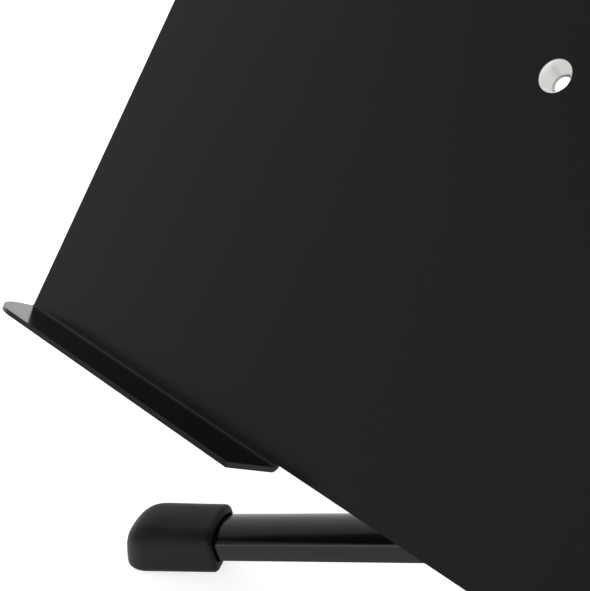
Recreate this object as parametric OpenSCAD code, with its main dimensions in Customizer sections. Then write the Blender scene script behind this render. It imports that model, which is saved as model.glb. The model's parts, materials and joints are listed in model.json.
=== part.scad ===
// Tabletop music stand: a folded steel desk on a short telescopic column with a folding tripod base.
// Millimetres, +Z up, +Y towards the back. The origin is on the table, midway between the front of the
// ledge and the toe of the rear foot.

/* [Desk] */
// Width of the desk sheet
desk_w = 350; // [300:1:460]
// Height of the desk sheet along its slope
desk_h = 250; // [200:1:340]
// Thickness of the steel sheet
sheet_t = 1.5; // [1:0.1:2.5]
// Radius of the two upper corners
desk_corner_r = 14; // [2:1:40]
// Slope of the desk above the table at rest, in degrees
desk_tilt = 54.6; // [48:0.1:66]

/* [Ledge] */
// Length of each ledge tab along the desk
lip_len = 120; // [60:1:145]
// Depth of each ledge tab from the fold
lip_depth = 18.3; // [12:0.1:40]
// Radius of the outer front corner of each tab
lip_corner_r = 14.4; // [1:0.1:18]
// Angle between the desk face and the tab, in degrees
lip_angle = 94; // [88:0.5:100]
// Inside radius of the fold
bend_r = 1; // [0.5:0.1:2.5]

/* [Desk rivets] */
// Diameter of the domed head
rivet_head_d = 8.9; // [7:0.1:11]
// Height of the domed head
rivet_head_h = 1.3; // [0.8:0.1:3.4]
// Diameter of the formed tail behind the bracket
rivet_tail_d = 7.9; // [6.5:0.1:10]
// Height of the formed tail behind the bracket
rivet_tail_h = 1.1; // [0.6:0.1:1.6]
// Diameter of the shank
rivet_d = 5; // [3:0.1:6]
// Distance of each rivet from the middle of the desk
rivet_x = 28.8; // [27:0.1:34]
// Height of the lower rivets above the fold
rivet_low_v = 119; // [116:0.5:124]
// Spacing of the lower and upper rivets
rivet_rise = 26; // [22:0.5:30]

/* [Tilt bracket] */
// Thickness of the bracket steel
bracket_t = 2; // [1.5:0.1:3]
// Inside bend radius of the bracket
bracket_bend_r = 1.5; // [0.5:0.1:3]
// Width of the bracket from its ear to its outer edge
bracket_w = 30; // [28:0.5:40]
// Height of the bracket on the desk
bracket_h = 44; // [40:0.5:60]
// Radius of the round ear and of the tilt head
ear_r = 10; // [8:0.5:12]
// Height of the tilt pivot above the fold, along the desk
pivot_v = 132; // [128:0.5:136]
// Depth of the tilt pivot behind the desk face
pivot_depth = 21; // [20:0.5:28]

/* [Tilt clamp] */
// Diameter of the tilt bolt
bolt_d = 6; // [5:0.5:8]
// Diameter of the domed bolt head
bolt_head_d = 14; // [12:0.5:18]
// Height of the domed bolt head
bolt_head_h = 3.6; // [2:0.1:5]
// Diameter of the fibre friction washers
friction_d = 18; // [14:0.5:19]
// Thickness of the fibre friction washers
friction_t = 1; // [0.5:0.1:2]
// Diameter of the steel washer under the knob
flat_washer_d = 14; // [12:0.5:18]
// Thickness of the steel washer under the knob
flat_washer_t = 1.2; // [0.8:0.1:2]

/* [Knobs] */
// Diameter across the lobes
knob_d = 30; // [24:0.5:32]
// Thickness of the lobed rim
knob_t = 10; // [8:0.5:16]
// Diameter of the boss under the rim
knob_boss_d = 15; // [13:0.5:18]
// Height of the boss under the rim
knob_boss_h = 5; // [3:0.5:10]
// Number of lobes
knob_lobes = 6; // [5:1:8]
// Radius of each lobe
lobe_r = 4; // [3:0.1:5]
// Depth of the hollows between the lobes
lobe_depth = 2; // [1:0.1:3]
// Radius of the domed face of the knob
knob_dome_r = 34; // [28:1:80]
// Diameter of the brass inserts
insert_d = 9; // [8.5:0.1:10]
// Length of the brass insert in the tilt knob
insert_len = 11; // [6:0.5:12]
// Diameter of the clamp screw
screw_d = 6; // [5:0.5:7]
// Length of the clamp screw inside its knob
screw_seat = 10; // [6:0.5:12]

/* [Column] */
// Outer diameter of the inner tube
inner_d = 14; // [12:0.1:15]
// Wall of the inner tube
inner_wall = 1.2; // [0.8:0.1:2]
// Outer diameter of the outer tube
outer_d = 18; // [17.5:0.1:20]
// Wall of the outer tube
outer_wall = 1.2; // [0.8:0.1:1.5]
// Length of the outer tube
outer_len = 94; // [84:1:140]
// Length of the guide bush inside the outer tube
bush_len = 22; // [18:0.5:26]
// Thickness of the flange of the guide bush
bush_flange = 1.5; // [1:0.1:3]
// Height of the shoe on the lower end of the inner tube
shoe_h = 12; // [6:0.5:16]
// Thickness of the floor of the shoe
shoe_floor = 2; // [1:0.1:3]

/* [Tilt head] */
// Width of the tilt head between the brackets
head_w = 16; // [15:0.5:18]
// Diameter of the socket of the tilt head
head_d = 20; // [17.5:0.1:24]
// Gap between the guide bush and the tilt head at the lowest setting
head_clear = 8.27; // [4:0.01:50]
// Height of the pivot above the lower end of the tilt head
head_drop = 36; // [32:0.5:40]
// Depth of the socket for the inner tube
socket_depth = 20; // [14:0.5:21]
// Height of the round shoulder above the socket
head_shoulder = 2.4; // [1:0.1:4]
// Diameter of the cross pin in the socket
pin_d = 3; // [2:0.1:4]

/* [Height clamp] */
// Diameter of the clamp collar
collar_d = 28; // [24:0.5:31]
// Height of the clamp collar
collar_h = 24; // [18:0.5:28]
// Diameter of the boss that holds the screw
boss_d = 15; // [13:0.5:18]
// Distance of the outer face of the boss from the axis of the column
boss_reach = 22; // [20:0.5:28]
// Diameter of the nylon pad in front of the screw
pad_d = 6; // [4:0.5:7]
// Length of the nylon pad in front of the screw
pad_len = 3; // [2:0.1:4]
// Wall of the collar between the outer tube and the brass nut
nut_wall = 2; // [1:0.1:4]

/* [Hub] */
// Distance of the leg pivots from the axis of the column
pivot_r = 26; // [24:0.5:32]
// Metal left around the stop pins in the arms of the hub plates
arm_margin = 1.4; // [0.8:0.1:3]
// Thickness of the hub plates
plate_t = 2.5; // [1.5:0.1:4]
// Diameter of the spacer between the hub plates
core_d = 26; // [20:0.5:28]
// Length of the spigot that carries the outer tube
spigot_len = 12; // [8:0.5:16]
// Diameter of the base bolt
base_bolt_d = 8; // [6:0.5:10]
// Length of the base bolt under its head
base_bolt_len = 20; // [16:0.5:24]
// Diameter of the base bolt's washer
base_washer_d = 18; // [16:0.5:22]
// Thickness of the base bolt's washer
base_washer_t = 1.5; // [1:0.1:2.5]
// Diameter of the head of the base bolt
base_head_d = 14; // [12:0.5:16]
// Height of the head of the base bolt
base_head_h = 4.5; // [3:0.1:6]
// Diameter of the leg pivot rivets
pivot_d = 6; // [4:0.1:8]
// Diameter of the heads of the leg pivot rivets
pivot_head_d = 11; // [9:0.1:14]
// Height of the heads of the leg pivot rivets
pivot_head_h = 2; // [1:0.1:3]
// Diameter of the stop pins
stop_d = 3; // [2:0.1:3.4]
// Distance of the stop pins beyond the leg pivots
stop_reach = 7.8; // [7:0.1:9]

/* [Legs] */
// Width of the leg channel
leg_w = 17.5; // [15:0.1:18.5]
// Height of the leg channel
leg_h = 9.2; // [8:0.1:12]
// Rise of its rounded top
leg_crown = 2.4; // [1:0.1:3]
// Wall of the leg channel
leg_wall = 1.2; // [0.8:0.1:1.8]
// Slope of each leg below the horizontal, in degrees
leg_slope = 14; // [8:0.5:18]
// Distance of the leg's lower end from the axis of the column
leg_end_r = 158; // [140:1:200]
// Gap between the hub plates and the upper end of the leg channel
leg_start_gap = 3; // [2:0.5:8]
// Radius of the eye of the leg knuckle
eye_r = 8.5; // [7.5:0.1:9]
// Height of the eye of the leg knuckle
eye_h = 10; // [9:0.1:14]
// Length of the knuckle's tongue inside the leg
tongue_in = 20; // [14:0.5:40]
// Diameter of the cross rivets in the legs
leg_rivet_d = 3; // [2:0.1:4]
// Diameter of the heads of the cross rivets
leg_rivet_head_d = 5.6; // [4.5:0.1:6]
// Height of the heads of the cross rivets
leg_rivet_head_h = 1.2; // [0.6:0.1:2]

/* [Feet] */
// Length of the rubber foot along the leg, without its toe
foot_len = 28.4; // [22:0.1:50]
// Distance of the front of the toe beyond the leg's end
toe_len = 8.8; // [8:0.1:11]
// Radius of the toe's upper front edge
toe_edge_r = 16; // [9:0.5:17]
// Thickness of the rubber at the sides of the leg
foot_wall = 2.5; // [1.5:0.1:3.5]
// Thickness of the rubber over the leg
foot_cover = 3.4; // [1.5:0.1:4.5]
// Thickness of the rubber under the leg
foot_sole = 3.5; // [2.8:0.1:5]
// Height of the leg's lower end above the table
sole_t = 3.8; // [2.6:0.1:4.2]
// Radius of the upper edges of the foot
foot_edge_r = 6; // [4:0.1:7]
// Radius of the lower edges of the foot
foot_under_r = 2; // [1:0.1:2.6]

/* [Fits] */
// Radial clearance of pieces that turn or slide
run_fit = 0.05; // [0.02:0.01:0.1]
// Radial clearance of pieces that are seated
seat_fit = 0.02; // [0.01:0.01:0.05]
// Clearance between flat faces that turn past each other
swing_gap = 0.15; // [0.1:0.05:0.4]
// Clearance where a moving piece comes to a stop
stop_gap = 0.3; // [0.2:0.05:0.6]

/* [Hidden] */
$fn = 64;
// Overlap of shapes that are joined, and overrun of shapes that cut
eps = 0.01;
cut = 1;
paint = "#1c1c1d";
rubber = "#262626";
plastic = "#202022";
nickel = "#c9c9c7";
zinc = "#9fa1a3";
brass = "#b7964f";
nylon = "#e4e2da";
fibre = "#5b3a2b";

// Leg directions around the column: each front leg is a third of a turn from the rear leg
third_turn = 360 / 3;
rear_leg = 90;
left_leg = rear_leg + third_turn;
right_leg = rear_leg - third_turn;
all_legs = [left_leg, right_leg, rear_leg];

// Fold of the ledge: distance from the fold line to where the bend begins
fold_v = bend_r / tan(lip_angle / 2);

// Leg channel
crown_r = (pow(leg_w / 2, 2) + pow(leg_crown, 2)) / (2 * leg_crown);
crown_z = leg_h - crown_r;
inner_w = leg_w - 2 * leg_wall;
shoulder_z = crown_z + sqrt(pow(crown_r - leg_wall, 2) - pow(inner_w / 2, 2));
tongue_w = inner_w - 2 * seat_fit;
tongue_h = shoulder_z - stop_gap;
stop_y = tongue_w / 2 + stop_gap + stop_d / 2;
arm_r = norm([stop_reach, stop_y]) + stop_d / 2 + arm_margin;
leg_start_r = pivot_r + arm_r + leg_start_gap;
leg_len = (leg_end_r - leg_start_r) / cos(leg_slope);
tongue_reach = (leg_start_r - pivot_r) / cos(leg_slope);
leg_rivet_x = -leg_len + tongue_in / 2;

// Height of a leg's underside at a distance from the column
function leg_low_z(r) = sole_t + (leg_end_r - r) * tan(leg_slope);

// Hub levels, from the knuckle eye outwards
eye_mid_z = leg_low_z(pivot_r + eye_r) + tongue_h / (2 * cos(leg_slope));
eye_low_z = eye_mid_z - eye_h / 2;
eye_top_z = eye_mid_z + eye_h / 2;
core_low_z = eye_low_z - swing_gap;
core_top_z = eye_top_z + swing_gap;
hub_low_z = core_low_z - plate_t;
hub_top_z = core_top_z + plate_t;

// Column levels
outer_bore = outer_d - 2 * outer_wall;
spigot_d = outer_bore - 2 * seat_fit;
outer_top_z = hub_top_z + outer_len;
shoe_low_z = hub_top_z + spigot_len + stop_gap;
inner_low_z = shoe_low_z + shoe_floor;
head_low_z = outer_top_z + bush_flange + head_clear;
pivot_z = head_low_z + head_drop;
inner_top_z = head_low_z + socket_depth;
pin_z = head_low_z + socket_depth / 2;
slide_travel = outer_top_z - bush_len - shoe_low_z - shoe_h - stop_gap;
echo(slide_travel = slide_travel);

// Height clamp
clamp_z = outer_top_z - collar_h / 2;
collar_low_z = outer_top_z - collar_h;
pad_start = inner_d / 2 + stop_gap;
pad_end = pad_start + pad_len;
screw_start = pad_end + swing_gap;
nut_start = outer_d / 2 + nut_wall;
height_knob_y = boss_reach + stop_gap;

// Tilt clamp, outwards from the tilt head along X
washer_in = head_w / 2 + run_fit;
ear_in = washer_in + friction_t;
ear_out = ear_in + bracket_t;
tilt_knob_x = ear_out + flat_washer_t + swing_gap;
bolt_end = tilt_knob_x + insert_len;

// Foot, with the centre of its round front edge against its sloping top
foot_w = leg_w + 2 * foot_wall;
foot_top = leg_h + foot_cover;
toe_r = leg_end_r + toe_len;
toe_edge_x = toe_r - toe_edge_r;
top_offset = leg_end_r * sin(leg_slope) + sole_t * cos(leg_slope) + foot_top;
toe_edge_z = (top_offset - toe_edge_r - toe_edge_x * sin(leg_slope)) / cos(leg_slope);
toe_top_x = toe_edge_x + toe_edge_r * sin(leg_slope);

// Place of the column: the front edge of the ledge and the rear toe lie equally far from the origin
lip_slope = desk_tilt + lip_angle;
fold_y = -pivot_v * cos(desk_tilt) - pivot_depth * sin(desk_tilt);
lip_front_y = fold_y + lip_depth * cos(lip_slope) - sheet_t * sin(lip_slope);
column_y = -(toe_r + lip_front_y) / 2;

// Places the children on the axis of the column, with the table at Z = 0
module on_column() {
    translate([0, column_y, 0])
        children();
}

// Places the children on the axis of the tilt bolt
module on_pivot() {
    translate([0, column_y, pivot_z])
        children();
}

// Places the children in the desk's own axes: X across, Y up the desk from the fold, Z out of its face
module desk_place() {
    on_pivot()
        rotate([desk_tilt, 0, 0])
            translate([0, -pivot_v, pivot_depth])
                children();
}

// Places the children in a leg's own axes: X down the leg to its end, Y across, Z out of its top
module leg_place(angle) {
    on_column()
        rotate(angle)
            translate([leg_end_r, 0, sole_t])
                rotate([0, leg_slope, 0])
                    children();
}

// Extrudes a YZ outline along X
module extrude_x(length) {
    rotate([90, 0, 90])
        linear_extrude(length)
            children();
}

// Turns a piece made along Z so that it points along X
module along_x() {
    rotate([0, 90, 0])
        children();
}

// Turns a piece made along Z so that it points along Y
module along_y() {
    rotate([-90, 0, 0])
        children();
}

// Part of a ring between two angles, in the plane: the section of a bend
module ring_sector(inner, thickness, from, to) {
    reach = 3 * (inner + thickness);
    middle = (from + to) / 2;
    intersection() {
        difference() {
            circle(r = inner + thickness);
            circle(r = inner);
        }
        polygon([[0, 0], for (a = [from, middle, to]) reach * [cos(a), sin(a)]]);
    }
}

// Spherical cap standing on Z = 0
module dome(d, h) {
    sphere_r = (d * d / 4 + h * h) / (2 * h);
    intersection() {
        translate([0, 0, h - sphere_r])
            sphere(r = sphere_r);
        cylinder(d = d + cut, h = h + cut);
    }
}

// Flat ring standing on Z = 0
module ring(outer, inner, h) {
    difference() {
        cylinder(d = outer, h = h);
        translate([0, 0, -cut])
            cylinder(d = inner, h = h + 2 * cut);
    }
}

// Rectangle from its lower left corner, with round upper and lower corners
module round_rect(w, h, upper_r, lower_r) {
    translate([-w / 2, lower_r])
        square([w, h - lower_r - upper_r]);
    translate([-w / 2 + upper_r, h / 2])
        square([w - 2 * upper_r, h / 2]);
    translate([-w / 2 + lower_r, 0])
        square([w - 2 * lower_r, h / 2]);
    for (side = [-1, 1]) {
        translate([side * (w / 2 - upper_r), h - upper_r])
            circle(r = upper_r);
        translate([side * (w / 2 - lower_r), lower_r])
            circle(r = lower_r);
    }
}

// Desk sheet, seen on its face
module desk_outline() {
    translate([-desk_w / 2, fold_v])
        square([desk_w, desk_h - fold_v - desk_corner_r]);
    translate([-desk_w / 2 + desk_corner_r, fold_v])
        square([desk_w - 2 * desk_corner_r, desk_h - fold_v]);
    for (side = [-1, 1])
        translate([side * (desk_w / 2 - desk_corner_r), desk_h - desk_corner_r])
            circle(r = desk_corner_r);
}

// Section of a ledge tab and its bend, in the YZ plane of the desk's axes, a little too deep
module tab_section() {
    translate([fold_v, bend_r])
        ring_sector(bend_r, sheet_t, 90 + lip_angle, 270);
    rotate(lip_angle)
        translate([fold_v, 0])
            square([lip_depth + cut - fold_v, sheet_t]);
}

// Outline of the left ledge tab, seen from above it, with a round outer front corner
module tab_outline() {
    polygon([
        [0, -lip_depth],
        [lip_len, -lip_depth],
        [lip_len, lip_depth],
        [lip_corner_r, lip_depth],
        [0, lip_depth - lip_corner_r]
    ]);
    translate([lip_corner_r, lip_depth - lip_corner_r])
        circle(r = lip_corner_r);
}

// Left ledge tab with its bend, in the desk's axes: a bent strip trimmed to the tab's outline
module ledge_tab() {
    translate([-desk_w / 2, 0, 0])
        intersection() {
            translate([-cut, 0, 0])
                extrude_x(lip_len + 2 * cut)
                    tab_section();
            rotate([lip_angle, 0, 0])
                translate([0, 0, -lip_depth])
                    linear_extrude(2 * lip_depth)
                        tab_outline();
        }
}

// Repeats the children at the four rivets of the desk, in the desk's axes
module at_rivets(sides = [-1, 1]) {
    for (side = sides, v = [rivet_low_v, rivet_low_v + rivet_rise])
        translate([side * rivet_x, v, 0])
            children();
}

module desk_plate() {
    color(paint)
        desk_place()
            difference() {
                union() {
                    translate([0, 0, -sheet_t])
                        linear_extrude(sheet_t)
                            desk_outline();
                    ledge_tab();
                    mirror([1, 0, 0])
                        ledge_tab();
                }
                at_rivets()
                    translate([0, 0, -sheet_t - cut])
                        cylinder(d = rivet_d + 2 * seat_fit, h = sheet_t + 2 * cut);
            }
}

module desk_rivets() {
    grip = sheet_t + bracket_t;
    color(nickel)
        desk_place()
            at_rivets() {
                dome(rivet_head_d, rivet_head_h);
                translate([0, 0, -grip - eps])
                    cylinder(d = rivet_d, h = grip + 2 * eps);
                translate([0, 0, -grip])
                    mirror([0, 0, 1])
                        dome(rivet_tail_d, rivet_tail_h);
            }
}

// Ear of the bracket in the YZ plane of the desk's axes, tapering from the bend to the pivot
module ear_outline(bend_z) {
    polygon([
        [pivot_v - bracket_h / 2, bend_z],
        [pivot_v + bracket_h / 2, bend_z],
        [pivot_v + ear_r, -pivot_depth],
        [pivot_v - ear_r, -pivot_depth]
    ]);
    translate([pivot_v, -pivot_depth])
        circle(r = ear_r);
}

// Angle bracket on the right of the tilt head, in the desk's axes
module bracket() {
    back_z = -sheet_t - bracket_t;
    bend_x = ear_out + bracket_bend_r;
    bend_z = back_z - bracket_bend_r;
    difference() {
        union() {
            translate([bend_x, pivot_v - bracket_h / 2, back_z])
                cube([ear_in + bracket_w - bend_x, bracket_h, bracket_t]);
            translate([bend_x, pivot_v + bracket_h / 2, bend_z])
                rotate([90, 0, 0])
                    linear_extrude(bracket_h)
                        ring_sector(bracket_bend_r, bracket_t, 90, 180);
            translate([ear_in, 0, 0])
                extrude_x(bracket_t)
                    ear_outline(bend_z);
        }
        at_rivets([1])
            translate([0, 0, back_z - cut])
                cylinder(d = rivet_d + 2 * seat_fit, h = bracket_t + 2 * cut);
        translate([ear_in - cut, pivot_v, -pivot_depth])
            along_x()
                cylinder(d = bolt_d + 2 * seat_fit, h = bracket_t + 2 * cut);
    }
}

module bracket_right() {
    color(paint)
        desk_place()
            bracket();
}

module bracket_left() {
    color(paint)
        desk_place()
            mirror([1, 0, 0])
                bracket();
}

module tilt_bolt() {
    color(zinc)
        on_pivot()
            translate([-ear_out, 0, 0]) {
                along_x()
                    translate([0, 0, -eps])
                        cylinder(d = bolt_d, h = ear_out + bolt_end + eps);
                mirror([1, 0, 0])
                    along_x()
                        dome(bolt_head_d, bolt_head_h);
            }
}

module friction_washers() {
    color(fibre)
        for (start = [-ear_in, washer_in])
            on_pivot()
                translate([start, 0, 0])
                    along_x()
                        ring(friction_d, bolt_d + 2 * run_fit, friction_t);
}

module flat_washer() {
    color(zinc)
        on_pivot()
            translate([ear_out, 0, 0])
                along_x()
                    ring(flat_washer_d, bolt_d + 2 * run_fit, flat_washer_t);
}

// Lobed outline of a hand knob
module knob_outline() {
    ring_r = knob_d / 2 - lobe_r;
    circle(r = knob_d / 2 - lobe_depth);
    for (i = [0 : knob_lobes - 1])
        rotate(i * 360 / knob_lobes)
            translate([ring_r, 0])
                circle(r = lobe_r);
}

// Hand knob standing on its boss at Z = 0, with a domed face and a blind bore
module knob(bore_d, bore_depth) {
    top = knob_boss_h + knob_t;
    difference() {
        union() {
            cylinder(d = knob_boss_d, h = knob_boss_h + eps);
            intersection() {
                translate([0, 0, knob_boss_h])
                    linear_extrude(knob_t)
                        knob_outline();
                translate([0, 0, top - knob_dome_r])
                    sphere(r = knob_dome_r);
            }
        }
        translate([0, 0, -cut])
            cylinder(d = bore_d, h = bore_depth + cut);
    }
}

module tilt_knob() {
    color(plastic)
        on_pivot()
            translate([tilt_knob_x, 0, 0])
                along_x()
                    knob(insert_d + 2 * seat_fit, insert_len + stop_gap);
}

module tilt_knob_insert() {
    color(brass)
        on_pivot()
            translate([tilt_knob_x, 0, 0])
                along_x()
                    ring(insert_d, bolt_d + 2 * run_fit, insert_len);
}

module tilt_head() {
    color(plastic)
        on_column()
            difference() {
                union() {
                    translate([0, 0, head_low_z])
                        cylinder(d = head_d, h = socket_depth + head_shoulder);
                    translate([-head_w / 2, -ear_r, head_low_z + socket_depth])
                        cube([head_w, 2 * ear_r, head_drop - socket_depth]);
                    translate([-head_w / 2, 0, pivot_z])
                        along_x()
                            cylinder(r = ear_r, h = head_w);
                }
                translate([0, 0, head_low_z - cut])
                    cylinder(d = inner_d + 2 * seat_fit, h = socket_depth + cut);
                translate([0, -head_d, pin_z])
                    along_y()
                        cylinder(d = pin_d + 2 * seat_fit, h = 2 * head_d);
                translate([-head_w, 0, pivot_z])
                    along_x()
                        cylinder(d = bolt_d + 2 * run_fit, h = 2 * head_w);
            }
}

module head_pin() {
    color(zinc)
        on_column()
            translate([0, -head_d / 2, pin_z])
                along_y()
                    cylinder(d = pin_d, h = head_d);
}

module inner_tube() {
    color(nickel)
        on_column()
            difference() {
                translate([0, 0, inner_low_z])
                    ring(inner_d, inner_d - 2 * inner_wall, inner_top_z - inner_low_z);
                translate([0, -inner_d, pin_z])
                    along_y()
                        cylinder(d = pin_d + 2 * seat_fit, h = 2 * inner_d);
            }
}

module slide_shoe() {
    color(nylon)
        on_column()
            translate([0, 0, shoe_low_z])
                difference() {
                    cylinder(d = outer_bore - 2 * run_fit, h = shoe_h);
                    translate([0, 0, shoe_floor])
                        cylinder(d = inner_d + 2 * seat_fit, h = shoe_h);
                }
}

module outer_tube() {
    color(paint)
        on_column()
            difference() {
                translate([0, 0, hub_top_z])
                    ring(outer_d, outer_bore, outer_len);
                translate([0, 0, clamp_z])
                    along_y()
                        cylinder(d = pad_d + 2 * run_fit, h = outer_d);
            }
}

module guide_bush() {
    bore = inner_d + 2 * run_fit;
    color(nylon)
        on_column()
            difference() {
                union() {
                    translate([0, 0, outer_top_z - bush_len])
                        ring(outer_bore - 2 * seat_fit, bore, bush_len + eps);
                    translate([0, 0, outer_top_z])
                        ring(outer_d, bore, bush_flange);
                }
                translate([0, 0, clamp_z])
                    along_y()
                        cylinder(d = pad_d + 2 * run_fit, h = outer_d);
            }
}

module clamp_collar() {
    color(plastic)
        on_column()
            difference() {
                union() {
                    translate([0, 0, collar_low_z])
                        cylinder(d = collar_d, h = collar_h);
                    translate([0, 0, clamp_z])
                        along_y()
                            cylinder(d = boss_d, h = boss_reach);
                }
                translate([0, 0, collar_low_z - cut])
                    cylinder(d = outer_d + 2 * seat_fit, h = collar_h + 2 * cut);
                translate([0, 0, clamp_z])
                    along_y()
                        cylinder(d = max(pad_d, screw_d) + 2 * run_fit, h = boss_reach + cut);
                translate([0, nut_start, clamp_z])
                    along_y()
                        cylinder(d = insert_d + 2 * seat_fit, h = boss_reach);
            }
}

module clamp_nut() {
    color(brass)
        on_column()
            translate([0, nut_start, clamp_z])
                along_y()
                    ring(insert_d, screw_d + 2 * run_fit, boss_reach - nut_start);
}

module clamp_pad() {
    color(nylon)
        on_column()
            translate([0, pad_start, clamp_z])
                along_y()
                    cylinder(d = pad_d, h = pad_len);
}

module height_knob() {
    color(plastic)
        on_column()
            translate([0, height_knob_y, clamp_z])
                along_y()
                    knob(screw_d + 2 * seat_fit, screw_seat);
}

module height_screw() {
    color(zinc)
        on_column()
            translate([0, screw_start, clamp_z])
                along_y()
                    cylinder(d = screw_d, h = height_knob_y + screw_seat - screw_start);
}

// Three-armed outline shared by the hub plates
module hub_outline() {
    circle(d = core_d);
    for (angle = all_legs)
        rotate(angle) {
            translate([pivot_r, 0])
                circle(r = arm_r);
            translate([0, -arm_r])
                square([pivot_r, 2 * arm_r]);
        }
}

// Repeats the children at the stop pins: one in front of each front leg's knuckle, and one on each side of
// the rear knuckle, which they lock
module at_stops() {
    for (stop = [[left_leg, 1], [right_leg, -1], [rear_leg, 1], [rear_leg, -1]])
        rotate(stop[0])
            translate([pivot_r + stop_reach, stop[1] * stop_y, 0])
                children();
}

module hub_plate(centre_bore) {
    difference() {
        linear_extrude(plate_t)
            hub_outline();
        translate([0, 0, -cut])
            cylinder(d = centre_bore, h = plate_t + 2 * cut);
        for (angle = all_legs)
            rotate(angle)
                translate([pivot_r, 0, -cut])
                    cylinder(d = pivot_d + 2 * run_fit, h = plate_t + 2 * cut);
        at_stops()
            translate([0, 0, -cut])
                cylinder(d = stop_d + 2 * seat_fit, h = plate_t + 2 * cut);
    }
}

module hub_top_plate() {
    color(paint)
        on_column()
            translate([0, 0, core_top_z])
                hub_plate(spigot_d + 2 * seat_fit);
}

module hub_bottom_plate() {
    color(paint)
        on_column()
            translate([0, 0, hub_low_z])
                hub_plate(base_bolt_d + 2 * seat_fit);
}

module hub_core() {
    color(zinc)
        on_column()
            difference() {
                union() {
                    translate([0, 0, core_low_z])
                        cylinder(d = core_d, h = core_top_z - core_low_z);
                    translate([0, 0, core_top_z - eps])
                        cylinder(d = spigot_d, h = plate_t + spigot_len + eps);
                }
                translate([0, 0, core_low_z - cut])
                    cylinder(d = base_bolt_d + 2 * seat_fit, h = base_bolt_len - plate_t + cut);
            }
}

module base_bolt() {
    seat_z = hub_low_z - base_washer_t;
    color(zinc)
        on_column()
            translate([0, 0, seat_z]) {
                translate([0, 0, -eps])
                    cylinder(d = base_bolt_d, h = base_bolt_len + eps);
                mirror([0, 0, 1])
                    cylinder(d = base_head_d, h = base_head_h, $fn = 6);
            }
}

module base_washer() {
    color(zinc)
        on_column()
            translate([0, 0, hub_low_z - base_washer_t])
                ring(base_washer_d, base_bolt_d + 2 * seat_fit, base_washer_t);
}

module pivot_rivets() {
    color(nickel)
        on_column()
            for (angle = all_legs)
                rotate(angle)
                    translate([pivot_r, 0, 0]) {
                        translate([0, 0, hub_low_z - eps])
                            cylinder(d = pivot_d, h = hub_top_z - hub_low_z + 2 * eps);
                        translate([0, 0, hub_top_z])
                            dome(pivot_head_d, pivot_head_h);
                        translate([0, 0, hub_low_z])
                            mirror([0, 0, 1])
                                dome(pivot_head_d, pivot_head_h);
                    }
}

module stop_pins() {
    color(zinc)
        on_column()
            at_stops()
                translate([0, 0, hub_low_z])
                    cylinder(d = stop_d, h = hub_top_z - hub_low_z);
}

// Outer outline of the leg channel, grown all round: flat sides under a rounded top
module leg_outline(grow) {
    intersection() {
        translate([-leg_w / 2 - grow, -grow])
            square([leg_w + 2 * grow, leg_h + 2 * grow]);
        translate([0, crown_z])
            circle(r = crown_r + grow);
    }
}

// Hollow of the leg channel, open underneath
module leg_hollow() {
    intersection() {
        translate([-inner_w / 2, -cut])
            square([inner_w, leg_h + cut]);
        translate([0, crown_z])
            circle(r = crown_r - leg_wall);
    }
}

// Hole for the cross rivet, in a leg's axes
module leg_rivet_hole() {
    translate([leg_rivet_x, -leg_w, tongue_h / 2])
        along_y()
            cylinder(d = leg_rivet_d + 2 * seat_fit, h = 2 * leg_w);
}

module leg(angle) {
    color(paint)
        leg_place(angle)
            difference() {
                translate([-leg_len, 0, 0])
                    extrude_x(leg_len)
                        difference() {
                            leg_outline(0);
                            leg_hollow();
                        }
                leg_rivet_hole();
            }
}

// Cast end of a leg: a flat eye and neck between the levels of the hub plates, and a sloping tongue inside
// the channel
module knuckle(angle) {
    color(zinc)
        difference() {
            union() {
                on_column()
                    rotate(angle)
                        translate([pivot_r, 0, eye_low_z])
                            cylinder(r = eye_r, h = eye_h);
                leg_place(angle)
                    translate([-leg_len - tongue_reach, -tongue_w / 2, 0])
                        cube([tongue_reach + tongue_in, tongue_w, tongue_h]);
            }
            on_column()
                rotate(angle) {
                    for (level = [eye_top_z, eye_low_z - eye_h])
                        translate([0, -leg_w, level])
                            cube([leg_start_r, 2 * leg_w, eye_h]);
                    translate([pivot_r, 0, eye_low_z - eye_h])
                        cylinder(d = pivot_d + 2 * run_fit, h = 3 * eye_h);
                }
            leg_place(angle)
                leg_rivet_hole();
        }
}

module leg_rivet(angle) {
    color(nickel)
        leg_place(angle)
            translate([leg_rivet_x, 0, tongue_h / 2]) {
                translate([0, -leg_w / 2 - eps, 0])
                    along_y()
                        cylinder(d = leg_rivet_d, h = leg_w + 2 * eps);
                for (side = [0, 1])
                    mirror([0, side, 0])
                        translate([0, leg_w / 2, 0])
                            along_y()
                                dome(leg_rivet_head_d, leg_rivet_head_h);
            }
}

// Outline of the foot seen from above: straight sides and a round toe
module foot_plan() {
    start = leg_end_r - 2 * foot_len;
    translate([start, -foot_w / 2])
        square([toe_r - foot_w / 2 - start, foot_w]);
    translate([toe_r - foot_w / 2, 0])
        circle(d = foot_w);
}

// Outline of the foot seen from its side: flat on the table, with a round upper front edge
module foot_side() {
    start = leg_end_r - 2 * foot_len;
    translate([start, 0])
        square([toe_top_x - start, 2 * foot_len]);
    translate([start, 0])
        square([toe_r - start, toe_edge_z]);
    translate([toe_edge_x, toe_edge_z])
        circle(r = toe_edge_r);
}

// Rubber boot over the end of a leg, flat where it stands on the table
module foot(angle) {
    height = foot_top + foot_sole;
    color(rubber)
        difference() {
            intersection() {
                leg_place(angle)
                    translate([-foot_len, 0, -foot_sole])
                        extrude_x(2 * foot_len)
                            round_rect(foot_w, height, foot_edge_r, foot_under_r);
                on_column()
                    rotate(angle)
                        intersection() {
                            linear_extrude(2 * foot_len)
                                foot_plan();
                            translate([0, foot_w, 0])
                                rotate([90, 0, 0])
                                    linear_extrude(2 * foot_w)
                                        foot_side();
                        }
            }
            leg_place(angle)
                translate([-foot_len - cut, 0, 0])
                    extrude_x(foot_len + cut)
                        leg_outline(seat_fit);
        }
}

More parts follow.
